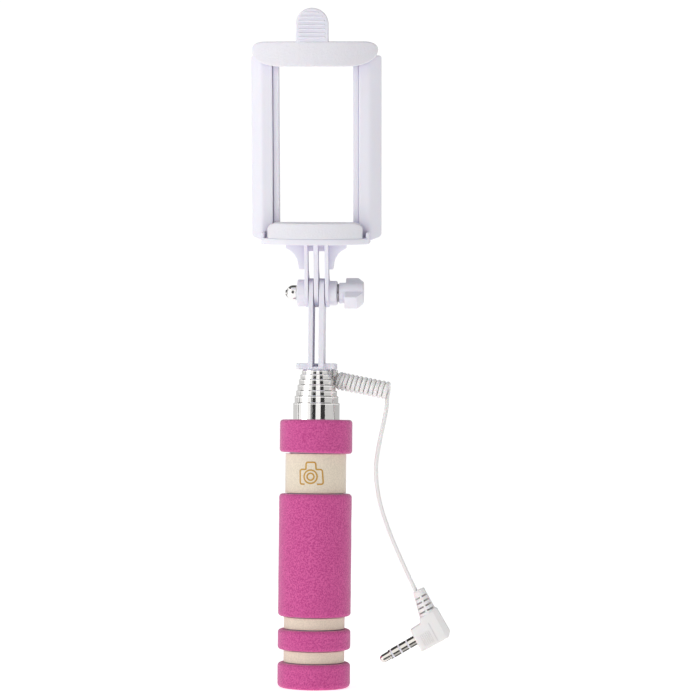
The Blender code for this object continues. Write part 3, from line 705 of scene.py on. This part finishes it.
def plug_frame():
    """The plug's frame: X out along the pin, Y to the front, Z towards the cord."""
    out = Vector((-math.cos(PLUG_SLOPE), 0, -math.sin(PLUG_SLOPE)))
    side = Vector((0, -1, 0))
    turn = Matrix((out, side, out.cross(side))).transposed().to_4x4()
    return Matrix.Translation(PLUG_FACE) @ turn


def make_relief(frame):
    """The tapered strain relief, with rows of slots that leave a web between each pair."""
    bore, length = 0.8 * MM, RELIEF_LENGTH
    thin, thick = RELIEF_RADII
    profile = [(bore, length, 0.15 * MM), (thin, length, 0.6 * MM),
               (thin + 0.05 * MM, length - 1.2 * MM, 0.2 * MM), (thick, 0.9 * MM, 0.5 * MM),
               (thick, 0.0, 0.1 * MM), (bore, 0.0)]
    cuts = []
    for row in range(RELIEF_SLOTS):
        z = (1.3 + 1.75 * row) * MM
        radius = thick + (thin - thick) * z / length
        for side in (-1, 1):
            for face in (-1, 1):
                left, right = on_side(side, 0.38 * MM, radius * 0.86)
                near, far = on_side(face, radius * 0.35, radius + MM)
                cuts.append(block((left, near, z), (right, far, z + 0.6 * MM)))
    mesh = united([lathe(rounded(profile), 48, closed=True)], cuts)
    leaning = Matrix.Identity(4)
    leaning[0][2] = RELIEF_LEAN
    matrix = frame @ Matrix.Translation((RELIEF_X, 0, RELIEF_BOTTOM)) @ leaning
    return piece("plug_relief", mesh, "white_rubber", "section_7", ["strain_relief"], matrix=matrix)


def make_plug_shell(frame):
    """The angled body: ribs, a groove and a sloped outer edge on both faces, and a neck for the relief."""
    half = PLUG_THICKNESS / 2
    corners = [(0.25, -4.75, 0.6), (0.2, 4.15, 0.6), (-4.4, 4.5, 1.4), (-4.8, 6.3, 0.5), (-12.1, 7.0, 0.9),
               (-12.3, -3.3, 1.6), (-10.8, -4.75, 1.2)]
    outline = [(x * MM, z * MM, radius * MM) for x, z, radius in corners]
    shell = plate(outline, -half, half, FRONT, 0.75 * MM, 4)
    neck = drum((RELIEF_X, 0, 4.0 * MM), (RELIEF_X, 0, RELIEF_BOTTOM + 0.7 * MM), 3.2 * MM, 0.4 * MM)
    pieces = [shell, neck]
    cuts = [drum((-5 * MM, 0, 0), (3 * MM, 0, 0), PIN_RADIUS + 0.05 * MM)]
    for face in (-1, 1):
        low, high = on_side(face, half - 0.15 * MM, half + 0.24 * MM)
        for rib in range(6):
            x = (-1.9 - 0.72 * rib) * MM
            pieces.append(block((x - 0.15 * MM, low, -3.6 * MM), (x + 0.15 * MM, high, 0.9 * MM), 0.1 * MM))
        low, high = on_side(face, half - 0.3 * MM, half + MM)
        cuts.append(block((-7.1 * MM, low, -3.9 * MM), (-6.85 * MM, high, 3.4 * MM)))
        inner, outer = -10.2 * MM, -14 * MM
        slope = [(inner, face * (half + 0.01 * MM)), (inner, face * (half + 2 * MM)),
                 (outer, face * (half + 2 * MM)), (outer, face * (half - 2.4 * MM))]
        cuts.append(plate(slope, -8 * MM, 12 * MM, PLAN, 0.0))
    return piece("plug_shell", united(pieces, cuts), "white_rubber", "section_7", ["plug_body"], matrix=frame)


def make_pin(frame):
    """The pin's contacts, and the insulator that shows between them."""
    matrix = frame @ Matrix.Rotation(PIN_TURN, 4, "Y") @ ALONG_X
    gaps = [SLEEVE_END + CONTACT_PITCH * i for i in range(3)]
    starts = [PIN_ROOT, *[gap + CONTACT_GAP for gap in gaps]]
    soft = 0.12 * MM
    made = []
    for name, low, high in zip(("sleeve", "ring_1", "ring_2"), starts, gaps):
        profile = [(PIN_RADIUS, high, soft), (PIN_RADIUS, low, soft), (PIN_CORE, low), (PIN_CORE, high)]
        mesh = lathe(rounded(profile, 3), 48, True)
        made.append(piece(f"pin_{name}", mesh, "nickel", "section_7", [f"plug_{name}"], matrix=matrix))
    low, end = starts[3], PIN_LENGTH
    profile = [(0.0, end), (0.95 * MM, end, 0.5 * MM), (1.45 * MM, end - 1.0 * MM, 0.6 * MM),
               (1.5 * MM, low + 0.75 * MM, 0.05 * MM), (PIN_RADIUS, low + 0.65 * MM, 0.1 * MM),
               (PIN_RADIUS, low, soft), (PIN_CORE, low), (0.0, low)]
    mesh = lathe(rounded(profile, 4, closed=False), 48)
    made.append(piece("pin_tip", mesh, "nickel", "section_7", ["plug_tip"], matrix=matrix))
    core, ring, lap = 0.9 * MM, 1.72 * MM, 0.02 * MM
    profile = [(0.0, PIN_ROOT), (core, PIN_ROOT)]
    for start in starts[1:]:
        near, far = start - CONTACT_GAP - lap, start + lap
        profile += [(core, near), (ring, near), (ring, far), (core, far)]
    mesh = lathe([*profile, (0.0, starts[3] + lap)], 48)
    made.append(piece("pin_insulator", mesh, "white_plastic", "section_7", ["plug_insulator"], matrix=matrix))
    return made


# ------------ handle


def foam_sleeve(node, slim, foot, slant):
    """A foam sleeve with a grainy skin and cut edges that aren't quite straight."""
    low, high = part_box(node)
    radius, bottom, top = high.x, low.z, high.z
    edge = 0.15 * MM if slim else 1.15 * MM
    profile = [(FOAM_BORE, top), (radius, top, edge), (radius, bottom, foot or edge), (FOAM_BORE, bottom)]
    profile = rounded(profile, 5)
    fine = []
    for a, b in zip(profile, [*profile[1:], profile[0]]):
        inside = max(a[0], b[0]) < FOAM_BORE + MM
        fine += between(a, b, 1 if inside else max(1, round(math.dist(a, b) / (0.45 * MM))))
    mesh = lathe(fine, 180, closed=True)
    grain, wave = (0.03 * MM, 0.02 * MM) if slim else (0.07 * MM, 0.06 * MM)
    moves = []
    for vertex in mesh.vertices:
        push = 0.0
        if vertex.co.xy.length >= FOAM_BORE + 0.2 * MM:
            where = vertex.co / MM
            push = grain * noise.noise(where / 0.55) + wave * noise.noise(where / 7 + Vector((3, 1, 5)))
        moves.append(vertex.normal * push)
    shift(mesh, moves)
    for vertex in mesh.vertices:
        vertex.co.z -= slant * vertex.co.x * (top - vertex.co.z) / (top - bottom)
    return mesh


def make_foams():
    for index, name in enumerate(FOAMS):
        slim = index % 2 == 1
        node = f"foam_{name}"
        foot = END_RING_FOOT if name == "end_ring" else None
        mesh = foam_sleeve(node, slim, foot, TOP_RING_SLANT if name == "top_ring" else 0.0)
        look = "cream_foam" if slim else "pink_foam"
        piece(f"sleeve_{name}", mesh, look, "handle", [node], angle=60)


def stroke(points, width, closed=False):
    """The two edges of a line of even width along a list of flat points."""
    points = [Vector(p) for p in points]
    count = len(points)
    left, right = [], []
    for i, point in enumerate(points):
        before = points[i - 1] if closed or i else point
        after = points[(i + 1) % count] if closed or i < count - 1 else point
        ahead = (after - before).normalized()
        across = Vector((-ahead.y, ahead.x)) * width / 2
        left.append(point + across)
        right.append(point - across)
    return left, right


def make_icon():
    """A plain camera pictogram printed round the front of the slim band."""
    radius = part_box("foam_button_band")[1].x
    base, cap = radius - 0.06 * MM, radius + 0.07 * MM
    body = bmesh.new()

    def draw(points, closed=False):
        left, right = stroke([(x * MM, y * MM) for x, y in points], ICON_LINE, closed)
        loops = []
        for a, b in zip(left, right):
            corners = ((a, base), (a, cap), (b, cap), (b, base))
            wrapped = [polar(r, ICON_TURN + p.x / radius, BUTTON_Z + p.y) for p, r in corners]
            loops.append([body.verts.new(point) for point in wrapped])
        skin(body, loops, closed)
        if not closed:
            body.faces.new(loops[0])
            body.faces.new(loops[-1])

    soft, sharp = 0.7, 0.25
    outline = [(-2.4, -3.95), (-4.15, -3.95, soft), (-4.25, 1.35, soft), (-2.0, 1.35, sharp),
               (-1.9, 3.95, soft), (1.55, 3.95, soft), (1.75, 1.35, sharp), (4.0, 1.35, soft),
               (4.45, -3.95, soft), (2.1, -3.95)]
    line = rounded(outline, 4, closed=False)
    fine = []
    for a, b in zip(line, line[1:]):
        fine += between(a, b, max(1, round(math.dist(a, b) / 0.5)))
    draw([*fine, line[-1]])
    for ring in (2.4, 1.25):
        draw(arc((-0.25, -1.25), ring, 0, 352, 44), closed=True)
    piece("camera_icon", finished(body, "icon"), "gold_print", "handle")


def make_end_plug():
    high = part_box("end_plug")[1]
    rim, body = high.x, 8.5 * MM
    soft = 0.4 * MM
    profile = [(0.0, 0.4 * MM), (6.2 * MM, 0.4 * MM, soft), (6.7 * MM, 0.0, soft), (rim, 0.0, soft),
               (rim, 3.0 * MM, soft), (body, 3.0 * MM), (body, high.z, soft), (0.0, high.z)]
    mesh = lathe(rounded(profile, 3, closed=False), 96)
    piece("end_cap", mesh, "white_plastic", "handle", ["end_plug"])


# ------------ telescope


def make_tube(number):
    """A thin tube with a bead at its top, rolled in towards the next one."""
    node = f"tube_{number}"
    low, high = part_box(node)
    radius, top, bottom = high.x, high.z, low.z
    inside = radius - TUBE_WALL
    lip, bead = inside - 0.12 * MM, radius + 0.04 * MM
    thin, soft = 0.05 * MM, 0.1 * MM
    profile = [(lip, top - 0.06 * MM, thin), (radius - 0.22 * MM, top, thin),
               (bead, top - 0.30 * MM, 0.2 * MM), (bead, top - 0.55 * MM, soft),
               (radius, top - 0.7 * MM, soft), (radius, bottom, thin), (inside, bottom, thin),
               (inside, top - 0.8 * MM, soft), (lip, top - 0.45 * MM, thin)]
    body = "handle" if number == 1 else f"section_{number}"
    piece(f"chrome_{number}", lathe(rounded(profile), 128, closed=True), "chrome", body, [node])


def make_inner_lead():
    low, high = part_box("inner_lead")
    wire = 0.72 * MM
    line = helix(high.x - 0.75 * MM, low.z, high.z, wire, 1.62 * MM, 16)
    piece("coiled_lead", tube_along(line, wire, 8), "white_rubber", "handle", ["inner_lead"], angle=80)


# ------------ head


def flange_outline():
    reach = math.degrees(math.asin(FLANGE_HALF_DEPTH / FLANGE_RADIUS))
    notch, depth = FORK_INNER, 1.6 * MM
    right = arc((0, 0), FLANGE_RADIUS, -reach, reach, 14)
    front = [(-notch, -FLANGE_HALF_DEPTH), (-notch, -depth), (notch, -depth), (notch, -FLANGE_HALF_DEPTH)]
    back = [(-x, -y) for x, y in front]
    return [*front, *right, *back, *[(-x, -y) for x, y in right]]


def fork_outline():
    half, soft = FORK_HALF_DEPTH, 2.4 * MM
    low, top = FLANGE_Z[0] + 0.05 * MM, PIVOT_Z + half
    return [(-half, low), (half, low), (half, top, soft), (-half, top, soft)]


def make_fork_cap():
    pieces = [plate(flange_outline(), *FLANGE_Z, PLAN, 0.35 * MM)]
    pieces.append(drum((0, 0, SPIGOT_BOTTOM), (0, 0, FLANGE_Z[0] + 0.8 * MM), SPIGOT_RADIUS, 0.2 * MM))
    for prong in FORK_PRONGS:
        pieces.append(plate(fork_outline(), *prong, SIDE, 0.22 * MM))
    for side in (-1, 1):
        low, high = on_side(side, FORK_OUTER - 0.3 * MM, FORK_OUTER + 0.12 * MM)
        pieces.append(drum((low, 0, PIVOT_Z), (high, 0, PIVOT_Z), 3.6 * MM, 0.05 * MM))
    hole = drum((-6 * MM, 0, PIVOT_Z), (6 * MM, 0, PIVOT_Z), HOLE_RADIUS)
    piece("fork_head", united(pieces, [hole]), "white_plastic", "section_7", ["fork_cap"])


# ------------ fold


def make_bolt():
    """The bolt: a domed head with a cross recess, and a shank."""
    seat = -BOSS_END - GAP
    radius, height = BOLT_HEAD_RADIUS, BOLT_HEAD_HEIGHT
    squash = 0.92
    dome = [(radius * math.cos(a), height + squash * radius * (math.sin(a) - 1)) for a in
            [math.radians(90 * k / 14) for k in range(14)]]
    profile = [(0.0, 0.0), (radius * 0.96, 0.0), (radius, 0.3 * MM), *dome, (0.0, height)]
    head = lathe(profile, matrix=Matrix.Translation((seat, 0, 0)) @ AGAINST_X)
    shank = drum((seat - 0.5 * MM, 0, 0), (BOLT_END, 0, 0), BOLT_RADIUS, 0.2 * MM, 32)
    crown = seat - height
    arm, bite, tip, floor = 1.8 * MM, 0.45 * MM, crown - MM, crown + 1.6 * MM
    cuts = [block((tip, -arm, -bite), (floor, arm, bite)), block((tip, -bite, -arm), (floor, bite, arm))]
    cuts.append(lathe([(0.0, -1.2 * MM), (1.15 * MM, 1.0 * MM), (0.0, 1.0 * MM)], 24,
                      matrix=Matrix.Translation((crown + 0.9 * MM, 0, 0)) @ AGAINST_X))
    for mesh in cuts:
        mesh.transform(Matrix.Rotation(math.radians(45), 4, "X"))
    piece("fold_bolt", united([head, shank], cuts), "chrome", "holder", ["pivot_bolt"])


def make_washer():
    near, far, rim, soft = 7.45 * MM, 7.85 * MM, 3.4 * MM, 0.12 * MM
    profile = rounded([(HOLE_RADIUS, near), (rim, near, soft), (rim, far, soft), (HOLE_RADIUS, far)], 3)
    piece("fold_washer", lathe(profile, 48, True, ALONG_X), "steel", "holder", ["knob_washer"])


def make_knob():
    start, end = KNOB_X
    hub = drum((start, 0, 0), (end, 0, 0), KNOB_RADIUS, 0.4 * MM, 64)
    half, thick = WING_HALF, WING_HALF_THICKNESS
    wing = block((WING_START, -half, -thick), (end, half, thick), 0.4 * MM)
    wing.transform(Matrix.Rotation(WING_TURN, 4, "X"))
    slope = lathe([(4.2 * MM, 0.2 * MM), (9 * MM, 0.2 * MM), (9 * MM, -3.6 * MM)], closed=True,
                  matrix=Matrix.Translation((end, 0, 0)) @ ALONG_X)
    wing = united([wing], [slope])
    pocket = drum((start - MM, 0, 0), (NUT_X[1] + 0.4 * MM, 0, 0), NUT_RADIUS + 0.35 * MM, segments=6)
    hole = drum((start - MM, 0, 0), (BOLT_END + 1.2 * MM, 0, 0), HOLE_RADIUS)
    mesh = united([hub, wing], [pocket, hole])
    piece("fold_wing_knob", mesh, "white_plastic", "knob", ["fold_knob"])


# ------------ phone holder


def bowed(half, front, end, back, tip, heel, count=24):
    """A plan outline with a bowed front edge and a straight back, front towards -Y."""
    sagitta = front - end
    radius = (half**2 + sagitta**2) / (2 * sagitta)
    reach = math.degrees(math.asin(half / radius))
    curve = arc((0.0, radius - front), radius, 270 - reach, 270 + reach, count)
    return [(*curve[0], tip), *curve[1:-1], (*curve[-1], tip), (half, -back, heel), (-half, -back, heel)]


def rail(side):
    """One side rail: its front bends back to the outer side, and its outer corners are taken off."""
    soft = 0.5 * MM
    plan = [(RAIL_IN, -RAIL_FRONT, soft), (19.8 * MM, -RAIL_FRONT, 3 * MM), (RAIL_OUT, -3.7 * MM, 0.8 * MM),
            (RAIL_OUT, 0.0, 0.7 * MM), (RAIL_IN, 0.0, soft)]
    low, high = RAIL_Z
    front = [(RAIL_IN - MM, low - MM), (RAIL_OUT - 3.6 * MM, low - MM), (RAIL_OUT - 3.4 * MM, low, 2 * MM),
             (RAIL_OUT, low + 1.2 * MM, 1.2 * MM), (RAIL_OUT, high, 0.9 * MM), (RAIL_IN - MM, high)]
    if side < 0:
        plan, front = mirrored(plan), mirrored(front)
    bar = plate(plan, low, high, PLAN, 0.4 * MM)
    return united([bar], within=plate(front, -MM, RAIL_FRONT + MM, FRONT, 0.0))


def clevis_outline():
    """A clevis prong seen from the side: round about the fold axis, with a neck, and wider at the tray."""
    top = TRAY_Z[0] + 0.8 * MM
    depth, bend = PRONG_BEND
    back = [(-2.0 * MM, top), (-1.0 * MM, 9.0 * MM, 4 * MM)]
    return [*back, *arc((0, 0), CLEVIS_RADIUS, 35, -176, 32), (-depth, bend, 3 * MM), (-depth - 2 * MM, top)]


def gusset_outline(wider):
    """A gusset seen from the front, as the right one, with its hollow curved edge."""
    foot, top, inner = GUSSET_FOOT, TRAY_Z[0] + 0.8 * MM, 4.0 * MM
    curve = arc((13.4 * MM + wider, 10.0 * MM), 7.2 * MM, 112, 180, 16)
    return [(inner, foot), (inner, top), (10.9 * MM + wider, top), *curve, (5.9 * MM + wider, foot, 0.4 * MM)]


def make_frame():
    """The lower jaw's tray with its lips, the rails, the clevis with its web, gussets and bosses."""
    plan = bowed(TRAY_HALF, TRAY_FRONT, TRAY_END, 1.0 * MM, 1.2 * MM, 0.5 * MM)
    tray = plate(plan, *TRAY_Z, PLAN, 0.4 * MM)
    room, notch = NOTCH_DEPTH, 7.0 * MM
    pieces = [united([tray], [block((-notch, -room, 0), (notch, 0, TRAY_Z[1] + MM))]), rail(-1), rail(1)]
    front, back = -TRAY_END - 0.2 * MM, -RAIL_FRONT + MM
    for side in (-1, 1):
        low, high = on_side(side, LIP_IN, TRAY_HALF)
        pieces.append(block((low, front, TRAY_Z[0] + MM), (high, back, LIP_TOP), 0.5 * MM))
    low, high = OUTER_PRONG
    for span in ((-high, -low), MIDDLE_PRONG, (low, high)):
        pieces.append(plate(clevis_outline(), *span, SIDE, 0.22 * MM))
    skirt = high - 0.5 * MM
    pieces.append(block((-skirt, -room - 1.3 * MM, WEB_Z[0]), (skirt, -room, WEB_Z[1]), 0.15 * MM))
    for outline in (gusset_outline(0.0), mirrored(gusset_outline(0.6 * MM))):
        pieces.append(plate(outline, *GUSSET_DEPTH, FRONT, 0.25 * MM))
    root = high - 0.4 * MM
    pieces.append(drum((-BOSS_END, 0, 0), (-root, 0, 0), BOSS_RADII[0], 0.35 * MM, 64))
    pieces.append(drum((root, 0, 0), (BOSS_END, 0, 0), BOSS_RADII[1], 0.35 * MM, 64))
    cuts = [drum((-BOSS_END - MM, 0, 0), (BOSS_END + MM, 0, 0), HOLE_RADIUS)]
    top = RAIL_Z[1] + MM
    for side in (-1, 1):
        hollows = []
        for span, depth in ((CHANNEL_X, CHANNEL_DEPTH), ((RAIL_IN - MM, CHANNEL_X[0] + GAP), SLOT_DEPTH)):
            low, high = on_side(side, *span)
            hollows.append(block((low, -depth[1], CHANNEL_BOTTOM), (high, -depth[0], top)))
        cuts.append(united(hollows))
    piece("holder_moulding", united(pieces, cuts), "white_plastic", "holder", ["holder_frame"])


def pad_mesh(half, span, front, depths, tip, sunk=0.0):
    """A soft pad: a bowed plan cut to an outline seen from the front, with everything rubbed round.

    A pad that sits on a flat face is made deeper first, by what is sunk, and cut off again at the face.
    """
    low, high = span
    bar = plate(bowed(half, *depths, PAD_DEPTH, tip, 0.6 * MM, 18), low - sunk, high, PLAN, 0.0)
    mesh = united([bar], within=plate(front, 0.0, PAST_FRONT, FRONT, 0.0))
    mesh = softened(mesh, 0.28 * MM, 5, 0.05 * MM)
    if not sunk:
        return mesh
    return united([mesh], within=block((-30 * MM, -30 * MM, low), (30 * MM, 30 * MM, high + MM)))


def bar_front(half, low, high, shoulder):
    """The upper jaw seen from the front: round shoulders, and ends swept far in below."""
    rise = 0.68 * (high - low)
    sweep, turn = 10.5 * MM, math.pi / 2
    below = [(half - (1 - math.cos(a)) * sweep, low + rise * (1 - math.sin(a))) for a in
             [turn * k / 10 for k in range(11)]]
    above = [(half - (1 - math.cos(a)) * shoulder, low + rise + (high - low - rise) * math.sin(a)) for a in
             [turn * k / 6 for k in range(1, 7)]]
    right = [*reversed(below), *above]
    return [*right, *mirrored(right)]


def lower_pad_front():
    low, high = LOWER_PAD_Z
    half = LOWER_PAD_HALF
    right = [(half, low - 3 * MM), (half, high - 1.9 * MM, 1.2 * MM),
             (half - 0.9 * MM, high - 0.8 * MM, 1.2 * MM), (half - 2.8 * MM, high, 2 * MM)]
    return [*right, *mirrored(right)]


def make_upper_jaw():
    """The sliding jaw: its bar, the ribbed tab, and a leg with its runner on each side."""
    inside, low, high = 1.2 * MM, JAW_Z[0], JAW_Z[1] + 0.05 * MM
    half = JAW_HALF - inside
    plan = bowed(half, TRAY_FRONT - inside, TRAY_END - inside, 1.0 * MM, 3.0 * MM, 0.8 * MM)
    outline = bar_front(half, UPPER_PAD_Z[0], high, 2.5 * MM)
    bar = united([plate(plan, low, high, PLAN, 0.0)], within=plate(outline, 0.0, PAST_FRONT, FRONT, 0.0))
    pieces = [softened(bar, 0.25 * MM, 4)]
    left, right, root = TAB_MIDDLE - TAB_HALF, TAB_MIDDLE + TAB_HALF, low + 0.3 * MM
    tab = [(left, root), (right, root), *arc((TAB_MIDDLE, TAB_TOP - TAB_HALF), TAB_HALF, 0, 180, 28)]
    pieces.append(plate(tab, *TAB_DEPTH, FRONT, 0.6 * MM, 4))
    leg_top = low + 0.9 * MM
    foot, top = RUNNER_Z
    for side in (-1, 1):
        low, high = on_side(side, LEG_X[0], LEG_EDGES[side])
        pieces.append(block((low, -LEG_DEPTH[1], LEG_BOTTOM), (high, -LEG_DEPTH[0], leg_top), 0.25 * MM))
        low, high = on_side(side, LEG_X[1] - 0.3 * MM, CHANNEL_X[0] + 0.6 * MM)
        near, far = SLOT_DEPTH[0] + GAP, SLOT_DEPTH[1] - GAP
        pieces.append(block((low, -far, foot), (high, -near, top)))
        low, high = on_side(side, CHANNEL_X[0] + GAP, CHANNEL_X[1] - GAP)
        near, far = CHANNEL_DEPTH[0] + GAP, CHANNEL_DEPTH[1] - GAP
        pieces.append(block((low, -far, foot + 0.1 * MM), (high, -near, top - 0.1 * MM), 0.2 * MM))
    for rib in range(7):
        z = JAW_Z[1] + (1.4 + 1.45 * rib) * MM
        above = max(0.0, z - (TAB_TOP - TAB_HALF))
        reach = min(4.7 * MM, math.sqrt(max(0.0, (TAB_HALF - 1.1 * MM) ** 2 - above**2)))
        left, right = TAB_MIDDLE - reach, TAB_MIDDLE + reach
        pieces.append(drum((left, -TAB_DEPTH[1], z), (right, -TAB_DEPTH[1], z), 0.36 * MM, 0.25 * MM, 12))
    piece("jaw_moulding", united(pieces), "white_plastic", "jaw", ["upper_jaw"])


def make_springs():
    """The two coil springs, which stretch between the holder and the jaw."""
    low, high = CHANNEL_BOTTOM + GAP, RUNNER_Z[0] - GAP
    wire = 0.14 * MM
    for side, name in ((-1, "left"), (1, "right")):
        middle = Vector((side * sum(CHANNEL_X) / 2, -sum(CHANNEL_DEPTH) / 2, 0))
        line = helix(SPRING_RADIUS - wire, low, high, wire, 0.40 * MM, 12)
        mesh = tube_along([HOLDER @ (middle + point) for point in line], wire, 6)
        smooth(mesh, 80)
        item = place(mesh)
        item.name = f"pull_spring_{name}"
        mesh.materials.append(LOOKS["steel"])
        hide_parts(f"spring_{name}")
        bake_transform(item)


def make_holder():
    make_bolt()
    make_washer()
    make_knob()
    make_frame()
    make_upper_jaw()
    make_springs()
    depths = (TRAY_FRONT - 0.1 * MM, 12.0 * MM)
    mesh = pad_mesh(LOWER_PAD_HALF, LOWER_PAD_Z, lower_pad_front(), depths, 1.0 * MM, 1.5 * MM)
    lower = piece("lower_cushion", mesh, "soft_pad", "holder", ["lower_pad"], angle=70)
    front = bar_front(UPPER_PAD_HALF, *UPPER_PAD_Z, 4.0 * MM)
    mesh = pad_mesh(UPPER_PAD_HALF, UPPER_PAD_Z, front, (TRAY_FRONT + GAP, TRAY_END - 0.8 * MM), 4.5 * MM)
    upper = piece("upper_cushion", mesh, "soft_pad", "jaw", ["upper_pad"], angle=70)


# ------------ stage

STICK_MIDDLE = (0, 0, 0.12)
# Each upright card's angle from the camera, its angular width and its glow
UPRIGHT_CARDS = ((-145, 72, 0.66), (-100, 5, 0.08), (-25, 8, 0.25), (-12, 17, 0.0),
                 (32, 23, 0.0), (69, 50, 0.62), (98, 8, 0.03), (140, 74, 0.5))
# Each pin card's first and last angle and its glow
PIN_CARDS = ((62, 180, 0.02), (-4, 62, 1.0), (-40, -4, 0.03), (-84, -40, 0.55), (-118, -84, 0.03),
             (-180, -118, 0.35))


def card(name, rows, glow, grey=0.02):
    """A matt strip of faces between pairs of points, which may shine by itself."""
    mesh = bpy.data.meshes.new(name)
    faces = [(2 * i, 2 * i + 1, 2 * i + 3, 2 * i + 2) for i in range(len(rows) - 1)]
    mesh.from_pydata([point for row in rows for point in row], [], faces)
    mesh.materials.append(plain(name, grey, glow))
    return place(mesh)


def plain(name, grey, glow=0.0):
    colour = (grey, grey, grey)
    look = Look(name, colour, 0.9)
    look.paint(look.mix(look.noise(0.4, 2.0), tint(colour, 0.99), colour))
    look.shader.inputs["Emission Color"].default_value = (1, 1, 1, 1)
    look.shader.inputs["Emission Strength"].default_value = glow
    return look.material


def unlit(item, seen):
    """Keeps an object out of the lighting: it shows in reflections, and to the camera if it is seen."""
    item.visible_camera = seen
    item.visible_diffuse = item.visible_shadow = item.visible_transmission = False


def only_reflected(item):
    unlit(item, False)


def area_light(name, where, size, power):
    """A rectangular lamp that shines at the middle of the stick."""
    data = bpy.data.lights.new(name, "AREA")
    data.shape = "RECTANGLE"
    data.size, data.size_y = size
    data.energy = power
    lamp = place(data)
    lamp.location = where
    lamp.rotation_mode = "QUATERNION"
    lamp.rotation_quaternion = (Vector(STICK_MIDDLE) - Vector(where)).to_track_quat("-Z", "Y")


def upright_card(name, turn, width, glow):
    """A tall card that only reflections see, by its angle from the camera and its angular width."""
    distance, half_height = 0.75, Vector((0, 0, 0.45))
    a = math.radians(CAMERA_TURN + turn)
    centre = Vector((math.sin(a) * distance, -math.cos(a) * distance, STICK_MIDDLE[2]))
    across = Vector((math.cos(a), math.sin(a), 0)) * distance * math.tan(math.radians(width / 2))
    rows = [(centre - across + up, centre + across + up) for up in (-half_height, half_height)]
    only_reflected(card(name, rows, glow))


def pin_card(name, start, end, glow):
    """Part of a wide sleeve round the plug's pin that only reflections see, from one angle to another.

    Angles are from the front, positive towards the cord.
    """
    frame = plug_frame()
    rows = []
    for y, z in arc((0, 0), 14 * MM, start, end, 12):
        rows.append([frame @ Vector((x, y, z)) for x in (-1.5 * MM, 24 * MM)])
    only_reflected(card(name, rows, glow))


def make_stage():
    scene = bpy.context.scene
    scene.view_settings.view_transform = "Standard"
    world = bpy.data.worlds.new("studio")
    scene.world = world
    world.use_nodes = True
    air = world.node_tree.nodes["Background"].inputs
    air["Color"].default_value = (0.97, 0.97, 1.0, 1.0)
    air["Strength"].default_value = 0.38

    ground = card("floor", [((-4, y, 0), (4, y, 0)) for y in (-4, 4)], 0.62, 0.9)
    dome = lathe([(6.0, -0.5), (6.0, 4.0), (0.0, 5.5)], 48)
    dome.materials.append(plain("backdrop", 0.0, 1.03))
    back = place(dome)
    back.name = "backdrop"
    unlit(back, True)

    area_light("key", (-1.03, -0.62, 0.5), (0.7, 1.1), 5.6)
    area_light("fill", (1.0, -0.9, 0.35), (0.6, 1.0), 0.9)
    area_light("top", (0.1, -0.3, 1.3), (0.9, 0.9), 1.3)
    for number, (turn, width, glow) in enumerate(UPRIGHT_CARDS, 1):
        upright_card(f"card_{number}", turn, width, glow)
    for number, (start, end, glow) in enumerate(PIN_CARDS, 1):
        pin_card(f"pin_card_{number}", start, end, glow)
    only_reflected(card("ceiling", [((-0.7, y, 0.8), (0.7, y, 0.8)) for y in (-0.4, 0.9)], 0.05))


# ------------ all of it

make_camera()
cord, cord_start, cord_length = make_cord()
make_gland()
plug = plug_frame()
on_cord = [make_relief(plug), make_plug_shell(plug), *make_pin(plug)]
make_foams()
make_icon()
make_end_plug()
for tube_number in range(1, TUBES + 1):
    make_tube(tube_number)
make_inner_lead()
make_fork_cap()
make_holder()

slots = {part["node"]: part["material_slot"] for part in FRAME["record"]["subparts"]}
for cad_node in FRAME["nodes"].values():
    if not cad_node.hide_render:
        cad_node.data.materials.clear()
        cad_node.data.materials.append(LOOKS[slots[cad_node.name]])

make_stage()
